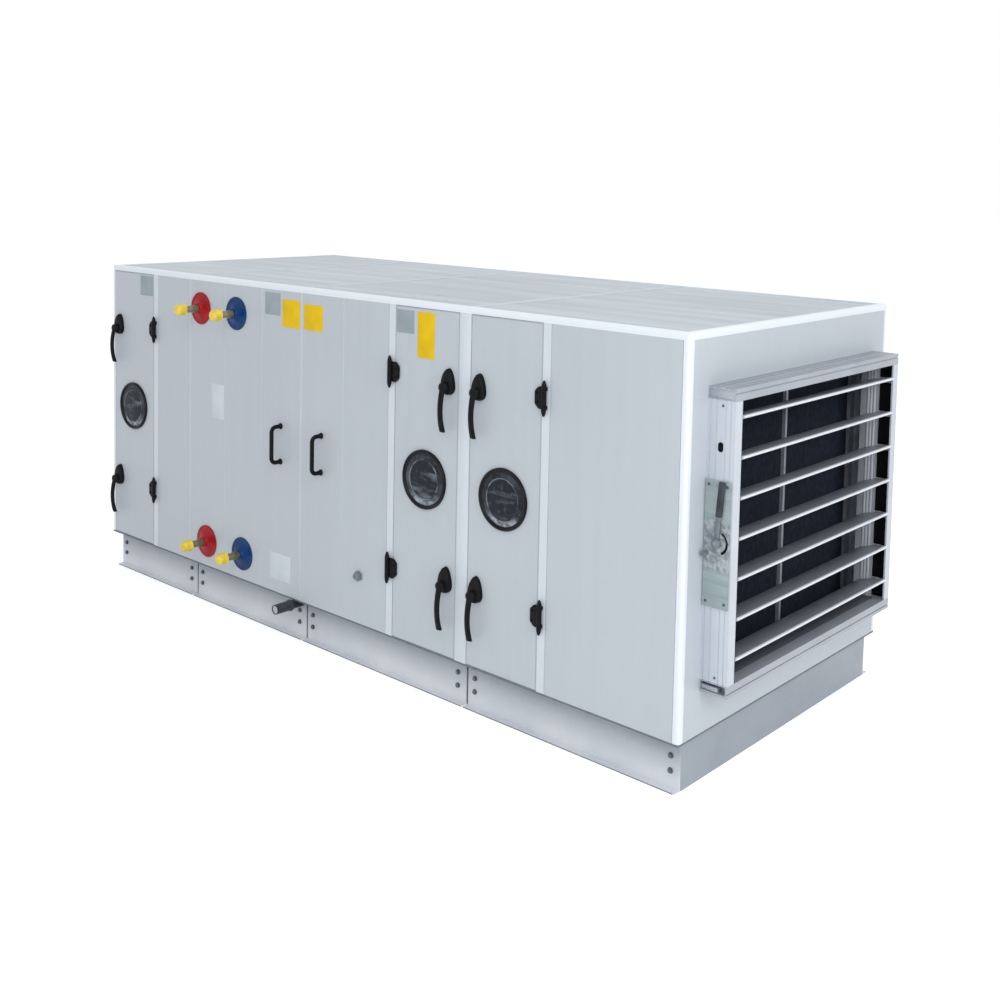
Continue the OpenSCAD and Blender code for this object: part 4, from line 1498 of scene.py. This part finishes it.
    def bowed_bar(self, work: Workpiece, z: float) -> None:
        """Draws the lever's bar along its bow, thick at the hub and the tip.

        Args:
            work: Workpiece that the bar is added to.
            z: Height of the latch's pivot.
        """
        before = set(work.bm.verts)
        x, y = self.latch_x, -(self.base_h + SNUG + self.hub_h / 2)
        half_run, steps = self.lever_drop / 2, self.lever_steps
        bow_r = (half_run**2 + self.lever_bow**2) / (2 * self.lever_bow)
        half_turn = math.asin(half_run / bow_r)
        ring = work.ring_of(1.0, 24)
        bmesh.ops.scale(work.bm, vec=(self.lever_w / 2, self.lever_t / 2, 1.0), verts=ring[0])
        slant = Matrix.Rotation(-half_turn, 3, "X")
        bmesh.ops.rotate(work.bm, cent=(0.0, 0.0, 0.0), matrix=slant, verts=ring[0])
        bmesh.ops.translate(work.bm, vec=self.grid.at(x, y, z), verts=ring[0])
        centre = self.grid.at(x, y + bow_r - self.lever_bow, z - half_run)
        widths = [1.0 - 0.1 * math.sin(math.pi * i / steps) for i in range(steps + 1)]
        for last, width in zip(widths, widths[1:]):
            ring = work.bend(ring, centre, ALONG, math.degrees(2 * half_turn / steps), 1)
            work.shrink(ring[0], (width / last, 1.0, 1.0))
        tip, _ = work.pull(ring[1], (0.0, 5.0 * MM, -3.5 * MM))
        work.shrink(tip, (0.72, 0.72, 0.72))
        work.close(before)


@dataclass
class Doors(Assembly):
    """The three doors and the hinge halves on their uprights."""

    hung: tuple[Hand, ...] = (Hand.RIGHT, Hand.LEFT, Hand.RIGHT)

    def build(self) -> None:
        """Builds the doors in order along the front."""
        posts = Workpiece(self.grid)
        for number, hung in enumerate(self.hung, 1):
            door = Door(self.grid, number, hung)
            door.build()
            door.post_hinges(posts)
        posts.done("upright_hinges", BLACK, "casing", "post_hinges", MOULDED)


@dataclass
class CoilConnections(Assembly):
    """Rosettes, pipes and protective caps of the two coils."""

    hot: Profile = ((677.0, 1064.0), (723.0, 102.0))
    cold: Profile = ((917.0, 1064.0), (963.0, 102.0))
    rosette_r: float = 66.0
    pipe_r: float = 13.5
    reach: float = 124.0
    cap_r: float = 24.0
    cap_len: float = 44.0
    thread_from: float = 62.0
    thread_pitch: float = 3.2
    threads: int = 12

    def build(self) -> None:
        """Turns the rosettes, then the pipes and caps."""
        rosette, every = self.rosette_profile(), [*self.hot, *self.cold]
        cap_y = self.cap_len - self.reach
        for name, finish, node, profile, places, y, steps, crease in (
            ("hot_rosette_discs", RED, "hot_rosettes", rosette, self.hot, 0.0, 72, 50.0),
            ("cold_rosette_discs", BLUE, "cold_rosettes", rosette, self.cold, 0.0, 72, 50.0),
            ("coil_pipe_stubs", PIPE, "coil_pipes", self.pipe_profile(), every, 0.0, 32, MOULDED),
            ("pipe_end_caps", YELLOW, "pipe_caps", self.cap_profile(), every, cap_y, 48, MOULDED),
        ):
            work = Workpiece(self.grid)
            for x, z in places:
                work.turned(profile, (x, y, z), steps)
            work.done(name, finish, "casing", node, crease)

    def rosette_profile(self) -> Profile:
        """Section of a conical wall rosette.

        Returns:
            Pairs of radius and height.
        """
        r, bore = self.rosette_r, self.pipe_r + SNUG
        rim = [(r - 1, 0), (r, 1.2), (r, 3.6), (r - 1.5, 5), (r - 5, 5.2), (r - 8, 4.2)]
        cone = [(r - 20, 6.4), (38, 8.6), (30, 11), (25, 14.5), (22, 19), (20.5, 21.6), (18, 22)]
        return [(bore, 0), *rim, *cone, (bore, 22), (bore, 0)]

    def pipe_profile(self) -> Profile:
        """Section of a pipe with a collar, and threads under its cap.

        Returns:
            Pairs of radius and height.
        """
        r, end = self.pipe_r, self.reach - 6.0
        profile = [(0, -30), (r, -30), (r, 34), (r + 3, 35), (r + 3, 45), (r, 46)]
        for turn in range(self.threads):
            h = self.thread_from + turn * self.thread_pitch
            profile += [(r, h), (r - 1.0, h + 1.2), (r, h + 2.4)]
        return [*profile, (r, end), (0, end)]

    def cap_profile(self) -> Profile:
        """Section of a round protective cap.

        Returns:
            Pairs of radius and height.
        """
        r, n, bore = self.cap_r, self.cap_len, self.pipe_r + SNUG
        skirt = [(bore, 0), (r - 2, 0), (r, 1.5), (r, 5), (r - 2, 6.5), (r - 2, n * 0.5)]
        dome = [(r - 3, n * 0.7), (r - 6.5, n * 0.86), (r - 12, n * 0.96), (0, n)]
        return [*skirt, *dome, (0, n - 5.3), (bore, n - 5.3), (bore, 0)]


@dataclass
class SmallFittings(Assembly):
    """Pull handles, condensate drain and sensor gland."""

    pulls: tuple[float, ...] = (1202.0, 1442.0)
    pull_z: float = 586.0
    pull_len: float = 154.0
    pull_reach: float = 52.0
    pull_r: float = 8.0
    drain: tuple[float, float] = (1286.0, -23.3)
    drain_r: float = 19.0
    drain_in: float = 44.0
    drain_reach: float = 88.0
    drain_wall: float = 3.4
    gland: Triple = (1658.0, 0.0, 176.0)

    def build(self) -> None:
        """Builds the fittings."""
        self.pull_handles()
        self.drain_pipe()
        self.sensor_gland()

    def pull_handles(self) -> None:
        """Bends the pull handles and gives them collared feet."""
        work = Workpiece(self.grid)
        r, mid = self.pull_r, self.pull_z
        turn = 2.4 * r
        leg, foot = self.pull_reach - turn - r, self.pull_len / 2 - r
        collar = [(0, 0), (r + 3.5, 0), (r + 3.5, 3), (r + 2, 6), (r, 9), (0, 9)]
        for x in self.pulls:
            before = set(work.bm.verts)
            verts, edges = work.ring_of(r, 20)
            work.settle(verts, (x, 0.0, mid + foot), Facing.FRONT)
            ring = work.pull(edges, (0.0, -leg * MM, 0.0))
            ring = work.bend(ring, self.grid.at(x, -leg, mid + foot - turn), ALONG, 90.0, 8)
            ring = work.pull(ring[1], (0.0, 0.0, -2 * (foot - turn) * MM))
            ring = work.bend(ring, self.grid.at(x, -leg, mid - foot + turn), ALONG, 90.0, 8)
            work.pull(ring[1], (0.0, leg * MM, 0.0))
            work.close(before)
            for z in (mid + foot, mid - foot):
                work.turned(collar, (x, 0.0, z), 28)
        work.done("panel_pulls", BLACK, "casing", "pull_handles", 50.0)

    def drain_pipe(self) -> None:
        """Turns the condensate drain with its collar and plugged end."""
        (x, z), r, bore = self.drain, self.drain_r, self.drain_r - self.drain_wall
        run = self.drain_reach + self.drain_in
        collar = [(0, 0), (r - 2, 0), (r - 2, 56), (r + 3, 57), (r + 3, 64), (r, 66)]
        groove = [(r, run - 12), (r - 1, run - 10), (r, run - 8), (r - 0.6, run)]
        work = Workpiece(self.grid)
        profile = [*collar, *groove, (bore, run), (bore, run - 60), (0, run - 60)]
        work.turned(profile, (x, self.drain_in, z), 40)
        work.done("drain_pipe", HOSE, "casing", "drain_stub", MOULDED)
        plug = Workpiece(self.grid)
        place = (x, 30.0 - self.drain_reach, z)
        plug.disc(2 * bore - 0.4, 28.0, place, Facing.FRONT, 32, 0.5)
        plug.done("drain_mouth_plug", MOUTH)

    def sensor_gland(self) -> None:
        """Builds the sensor gland: hexagon, dome nut and plug."""
        work = Workpiece(self.grid)
        work.disc(40.0, 7.0, self.gland, Facing.FRONT, 6, 1.0)
        nut = [(0, 6.5), (14, 6.5), (14, 13), (12.6, 17.5), (9.6, 20.5)]
        work.turned([*nut, (5.6, 22), (4.8, 20), (0, 20)], self.gland, 32)
        work.done("sensor_gland_nut", GREY, "casing", "sensor_gland", MOULDED)


@dataclass
class BarePlates(Assembly):
    """Bare plates and papers on the doors and panels."""

    thick: float = 0.9
    edge: float = 0.35
    yellow: tuple[tuple[int, ...], ...] = ((1207, 1312, 1040, 1146), (1336, 1444, 1042, 1138))
    papers: tuple[tuple[int, ...], ...] = ((752, 836, 623, 764), (1139, 1267, 49, 154))

    def build(self) -> None:
        """Builds one piece for each finish and carrier; places are left, right, foot and top."""
        for name, finish, body, places in (
            ("door_1_plate", BARE_PLATE, "door_1", [(226, 322, 1084, 1168)]),
            ("door_2_plate", BARE_PLATE, "door_2", [(1841, 1926, 1084, 1164)]),
            ("door_2_yellow_plate", BARE_YELLOW, "door_2", [(1944, 2026, 1006, 1164)]),
            ("panel_plate", BARE_PLATE, "casing", [(1102, 1195, 1080, 1166)]),
            ("panel_yellow_plates", BARE_YELLOW, "casing", self.yellow),
            ("panel_papers", PAPER, "casing", self.papers),
        ):
            work = Workpiece(self.grid)
            for x0, x1, z0, z1 in places:
                work.block((x0, -self.thick, z0), (x1, 0.0, z1), self.edge)
            work.done(name, finish, body)


@dataclass
class Damper(Assembly):
    """Intake damper: frame, blades, drive plate and hand lever."""

    depth: float = 94.0
    width: float = 1076.0
    low: float = 134.0
    bar: float = 36.0
    pitch: float = 119.0
    chord: float = 109.0
    blade_t: float = 16.0
    edge_t: float = 12.0
    tilt: float = 14.0
    gap: float = 5.0
    shaft_r: float = 7.0
    shaft_out: float = 13.0
    skin: float = 9.0
    recess: tuple[float, float] = (0.40, 0.94)
    recess_d: float = 20.0
    liner: float = 2.0
    flutes: tuple[float, ...] = (0.12, 0.34, 0.66, 0.84)
    flute_half: float = 1.9
    flute_in: float = 0.9
    ribs: Triple = (3.0, 14.0, 26.0)
    rib_w: float = 7.0
    rib_t: float = 1.5
    sill_in: float = 40.0
    sill_t: float = 0.9
    plug_x: tuple[float, float] = (4.5, 7.5)
    plug_z: tuple[float, float] = (31.5, 7.5)
    low_plug_z: tuple[float, float] = (7.5, 22.0)
    low_plug_in: float = 26.0
    count: int = 7
    lead: int = 4
    plate_t: float = 5.0
    bolt_x: tuple[float, float] = (-32.0, 30.0)
    bolt_z: tuple[float, float] = (-176.0, 168.0)
    knob: tuple[float, float] = (-33.0, -34.0)
    cable_z: float = 866.0
    slot_from: float = 64.0
    slot_turn: float = 128.0
    slot_r: tuple[float, float] = (29.4, 36.6)
    hand: float = 180.0
    hand_w: float = 16.0
    hand_t: float = 6.0
    hand_lean: float = 5.0
    grip_from: float = 78.0

    @property
    def near(self) -> float:
        """Front side of the frame."""
        return (self.plan.depth - self.width) / 2

    @property
    def end(self) -> float:
        """Inner side of the frame along the unit."""
        return self.plan.length

    @property
    def axis_x(self) -> float:
        """Place of the blades' axes along the unit."""
        return self.end + self.depth / 2

    @property
    def foot(self) -> float:
        """Foot of the opening."""
        return self.low + self.bar

    @property
    def head(self) -> float:
        """Head of the opening."""
        return self.foot + self.count * self.pitch

    @property
    def lead_z(self) -> float:
        """Height of the driven blade's axis."""
        return self.blade_z(self.lead)

    def blade_z(self, number: int) -> float:
        """Height of a blade's axis."""
        return self.foot + (number - 0.5) * self.pitch

    def build(self) -> None:
        """Dresses the frame and builds blades, drive and the frame's details."""
        self.dress(FRAME_METAL, "damper_sides")
        self.dress(RAIL_METAL, "damper_rails")
        self.dress(DRIVE, "damper_quadrant")
        for number in range(1, self.count + 1):
            self.blade(number)
        self.drive_bolts()
        self.clamp_knob()
        self.hand_lever()
        self.painted_shade_places()
        self.side_recess()
        self.flute_liners()
        self.rail_ends()
        self.lit_inner_ribs()
        self.sill()

    def blade(self, number: int) -> None:
        """Draws one blade with its shafts.

        Args:
            number: Counted from the bottom.
        """
        work = Workpiece(self.grid)
        x, z = self.axis_x, self.blade_z(number)
        side = self.bar + self.gap
        near, run = self.near + side, self.width - 2 * side
        made = bmesh.ops.create_circle(work.bm, cap_ends=True, segments=40, radius=1.0)["verts"]
        for v in made:
            across = math.copysign(abs(v.co.x) ** 0.42, v.co.x)
            up = math.copysign(abs(v.co.y) ** 0.62, v.co.y)
            swell = self.edge_t + (self.blade_t - self.edge_t) * (1.0 - abs(across) ** 1.5)
            v.co.x = across * self.chord / 2 * MM
            v.co.y = up * swell / 2 * MM
        work.grow(faces_of(made), (0.0, 0.0, run * MM))
        work.square_up(set())
        lean = Matrix.Rotation(math.radians(self.tilt), 4, "Z")
        stand = Matrix.Rotation(math.radians(90.0), 4, "X")
        place = Matrix.Translation(self.grid.at(x, near + run, z))
        bmesh.ops.transform(work.bm, matrix=place @ stand @ lean, verts=list(work.bm.verts))
        inner = side - self.skin
        outer = side + self.plate_t + self.shaft_out if number == self.lead else inner
        for y, length, facing in (
            (near + 1.0, outer + 1.0, Facing.FRONT),
            (near + run - 1.0, inner + 1.0, Facing.BACK),
        ):
            work.disc(2 * self.shaft_r, length, (x, y, z), facing, 20, 0.8)
        name, body = f"louvre_{number}", f"blade_{number}"
        work.done(name, BLADE_METAL, body, f"damper_blade_{number}", 35.0)

    def drive_bolts(self) -> None:
        """Adds the drive plate's bolts and screws on the near side."""
        work = Workpiece(self.grid)
        for dx in self.bolt_x:
            for dz in self.bolt_z:
                work.screw((self.axis_x + dx, self.near - self.plate_t, self.lead_z + dz))
        for z in (self.foot + 16.0, self.head - 16.0):
            work.screw((self.axis_x + 4.0, self.near, z), 8.0)
        work.done("drive_bolts", BOLT)

    def clamp_knob(self) -> None:
        """Turns the knob that clamps the lever's quadrant."""
        work = Workpiece(self.grid)
        dx, dz = self.knob
        profile = [(0, 0), (7, 0), (7, 4), (4, 5), (4, 11), (8, 12.5), (9, 18), (7.5, 22), (0, 23)]
        work.turned(profile, (self.axis_x + dx, self.near - self.plate_t, self.lead_z + dz), 28)
        work.done("quadrant_knob", ARM)

    def hand_lever(self) -> None:
        """Builds the lead blade's lever: zinc arm with a dark grip."""
        foot = self.near - self.plate_t - SNUG
        half, bore, body = self.hand_w / 2, self.shaft_r + 0.2, f"blade_{self.lead}"
        arm = Workpiece(self.grid)
        arm.block((-half, 0.0, 10.0), (half, self.hand_t, self.hand - 6.0), 1.5)
        self.lean(arm, foot)
        hub = [(bore, 0), (15, 0), (15, 8), (13.5, 11), (11, 12), (bore, 12), (bore, 0)]
        arm.turned(hub, (self.axis_x, foot, self.lead_z), 32)
        arm.done("drive_lever_arm", ARM, body, "damper_lever", MOULDED)
        grip = Workpiece(self.grid)
        corner = (-half - 2.0, 0.4, self.grip_from)
        grip.block(corner, (half + 2.0, self.hand_t + 3.5, self.hand + 3.0), 3.0, 3)
        self.lean(grip, foot)
        grip.done("drive_lever_grip", GRIP, body, "", MOULDED)

    def lean(self, work: Workpiece, foot: float) -> None:
        """Turns a lever that was drawn at the origin and puts it on the shaft.

        Args:
            work: Workpiece with the lever, drawn upwards with its back at 0.
            foot: Place of the lever's back.
        """
        home = Matrix.Translation(-self.grid.at(0.0, 0.0, 0.0))
        turn = Matrix.Rotation(math.radians(self.hand_lean), 4, "Y")
        flip = Matrix.Diagonal((1.0, -1.0, 1.0, 1.0))
        place = Matrix.Translation(self.grid.at(self.axis_x, foot, self.lead_z))
        move = place @ turn @ flip @ home
        bmesh.ops.transform(work.bm, matrix=move, verts=list(work.bm.verts))
        work.square_up(set())

    def painted_shade_places(self) -> None:
        """Paints shade into the cable hole and the slot of the drive plate with dark pieces."""
        work = Workpiece(self.grid)
        hole = (self.axis_x, self.near - 0.1, self.cable_z)
        middle = self.grid.at(*hole)
        for v in work.disc(17.0, 1.2, hole, Facing.FRONT, 28, 0.3):
            v.co.z += math.copysign(6.0 * MM, v.co.z - middle.z)
        before = set(work.bm.verts)
        middle = self.grid.at(self.axis_x, self.near, self.lead_z)
        start = Matrix.Rotation(math.radians(self.slot_from), 3, "Y")
        inner, outer = self.slot_r
        corners = [(inner, 0.0), (outer, 0.0), (outer, -1.5), (inner, -1.5)]
        spots = [middle + start @ Vector((a * MM, b * MM, 0.0)) for a, b in corners]
        ring = [work.bm.verts.new(spot) for spot in spots]
        edges = [work.bm.edges.new((ring[i], ring[i - 1])) for i in range(4)]
        work.bend((ring, edges), middle, Facing.FRONT.vector(), self.slot_turn, 28)
        work.close(before)
        work.done("damper_painted_shade_places", DARK)

    def side_recess(self) -> None:
        """Lines the recess inside both sides of the frame with dark strips, painted shade of the
        recess.
        """
        work = Workpiece(self.grid)
        x0, x1 = (self.end + self.depth * share for share in self.recess)
        y = self.near + self.bar - self.recess_d
        clear = self.shaft_r + 2.0
        shafts = [self.blade_z(i) for i in range(1, self.count + 1)]
        lower = [self.foot + 2.0, *[z + clear for z in shafts]]
        upper = [*[z - clear for z in shafts], self.head - 2.0]
        for z0, z1 in zip(lower, upper):
            work.twins((x0 + 1.0, y, z0), (x1 - 1.0, y + self.liner, z1), 0.4)
        work.done("recess_shade_liners", DARK)

    def flute_liners(self) -> None:
        """Lays liners in the flutes of both sides."""
        work = Workpiece(self.grid)
        y, half = self.near + self.flute_in, self.flute_half
        for share in self.flutes:
            x = self.end + share * self.depth
            low = (x - half, y, self.foot + 1.0)
            work.twins(low, (x + half, y + self.liner, self.head - 1.0), 0.3)
        work.done("flute_liners", FRAME_METAL)

    def lit_inner_ribs(self) -> None:
        """Draws the ribs inside both sides, behind their recess, in the white edge finish: painted
        light on a shaded face.
        """
        work = Workpiece(self.grid)
        y = self.near + self.bar
        for out in self.ribs:
            low = (self.end + out, y, self.foot + 1.0)
            work.twins(low, (self.end + out + self.rib_w, y + self.rib_t, self.head - 1.0), 0.7)
        work.done("lit_inner_ribs", EDGE)

    def sill(self) -> None:
        """Lays a dark strip along the inner half of the lower rail's top: painted shade on the
        rail.
        """
        work = Workpiece(self.grid)
        y = self.near + self.bar + 1.0
        far = (self.end + self.depth - self.sill_in, self.plan.depth - y, self.foot + self.sill_t)
        work.block((self.end + 2.0, y, self.foot), far, 0.3)
        work.done("rail_sill_shade", SILL_SHADE)

    def rail_ends(self) -> None:
        """Closes the upper rail's ends, and half of the lower rail's."""
        work = Workpiece(self.grid)
        x0, x1 = self.end + self.plug_x[0], self.end + self.depth - self.plug_x[1]
        y, top = self.near, self.head + self.bar
        z0, z1 = (top - down for down in self.plug_z)
        work.twins((x0, y + 0.3, z0), (x1, y + 4.0, z1), 0.8)
        z0, z1 = (self.low + up for up in self.low_plug_z)
        work.twins((x0, y + 3.0, z0), (x1 - self.low_plug_in, y + 20.0, z1), 3.0)
        work.done("rail_end_plugs", RAIL_METAL)


@dataclass
class FilterBank(Assembly):
    """Pleated filter cells behind the damper."""

    pleat: float = 26.0
    amplitude: float = 18.0
    sheet: float = 2.0
    lap: float = 9.0
    seams: tuple[tuple[float, float], ...] = ((555.4, 564.0), (681.4, 694.0))
    strip_back: tuple[float, float] = (27.0, 24.0)

    def build(self) -> None:
        """Dresses the frame, pleats the cells and covers their seam with a dark strip, painted
        shade of the gap.
        """
        self.dress(ZINC, "filter_frame")
        low, high = ((corner - self.grid.origin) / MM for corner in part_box("filter_media"))
        middle = (low.x + high.x) / 2
        (a, b), (c, d) = [(low.y + left, low.y + right) for left, right in self.seams]
        work = Workpiece(self.grid)
        for y0, y1 in ((low.y, a), (b, c), (d, high.y)):
            self.cell(work, Vector((middle, y0, low.z)), Vector((middle, y1, high.z)))
        work.done("filter_pleats", CLOTH, "casing", "filter_media", 20.0)
        strip = Workpiece(self.grid)
        x0, x1 = (middle - back for back in self.strip_back)
        strip.block((x0, a - self.lap, low.z + 2.0), (x1, b + self.lap, high.z - 2.0), 0.6)
        strip.done("filter_seam_shade_strip", DARK)

    def cell(self, work: Workpiece, low: Vector, high: Vector) -> None:
        """Folds one pleated mat.

        Args:
            work: Workpiece that the mat is added to.
            low: Lower front corner of the mat's middle plane.
            high: Upper back corner of it.
        """
        size = high - low
        folds = max(4, int(size.y / (self.pleat / 2)))
        before = set(work.bm.verts)
        made = bmesh.ops.create_grid(work.bm, x_segments=folds, y_segments=1, size=0.5)["verts"]
        for v in made:
            step = round((v.co.x + 0.5) * folds)
            v.co.z = (self.amplitude if step % 2 else -self.amplitude) * MM
        bmesh.ops.scale(work.bm, vec=(size.y * MM, size.z * MM, 1.0), verts=made)
        bmesh.ops.solidify(work.bm, geom=faces_of(made), thickness=self.sheet * MM)
        stand = Matrix(((0.0, 0.0, 1.0), (1.0, 0.0, 0.0), (0.0, 1.0, 0.0))).to_4x4()
        place = Matrix.Translation(self.grid.at(*((low + high) / 2)))
        bmesh.ops.transform(work.bm, matrix=place @ stand, verts=work.fresh(before))
        work.square_up(before)


@dataclass
class Outlet(Assembly):
    """Duct collar on the left end, with bolt heads in its corners."""

    depth: float = 60.0
    width: float = 640.0
    height: float = 560.0
    low: float = 300.0
    bar: float = 30.0
    head: float = 11.0

    def build(self) -> None:
        """Dresses the collar and adds its bolts."""
        self.dress(FRAME_METAL, "outlet_collar")
        near, half = (self.plan.depth - self.width) / 2, self.bar / 2
        work = Workpiece(self.grid)
        for y in (near + half, near + self.width - half):
            for z in (self.low + half, self.low + self.height - half):
                work.bolt((-self.depth, y, z), Facing.LEFT, self.head)
        work.done("outlet_bolts", BOLT)


def main() -> None:
    """Loads the frame and builds the unit's looks in order."""
    logging.basicConfig(level=logging.INFO, format="%(message)s")
    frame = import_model()
    Stage().build()
    grid = Grid.from_frame(frame)
    BaseFrame(grid).build()
    Casing(grid).build()
    Doors(grid).build()
    CoilConnections(grid).build()
    SmallFittings(grid).build()
    BarePlates(grid).build()
    Damper(grid).build()
    FilterBank(grid).build()
    Outlet(grid).build()


if __name__ == "__main__":
    main()
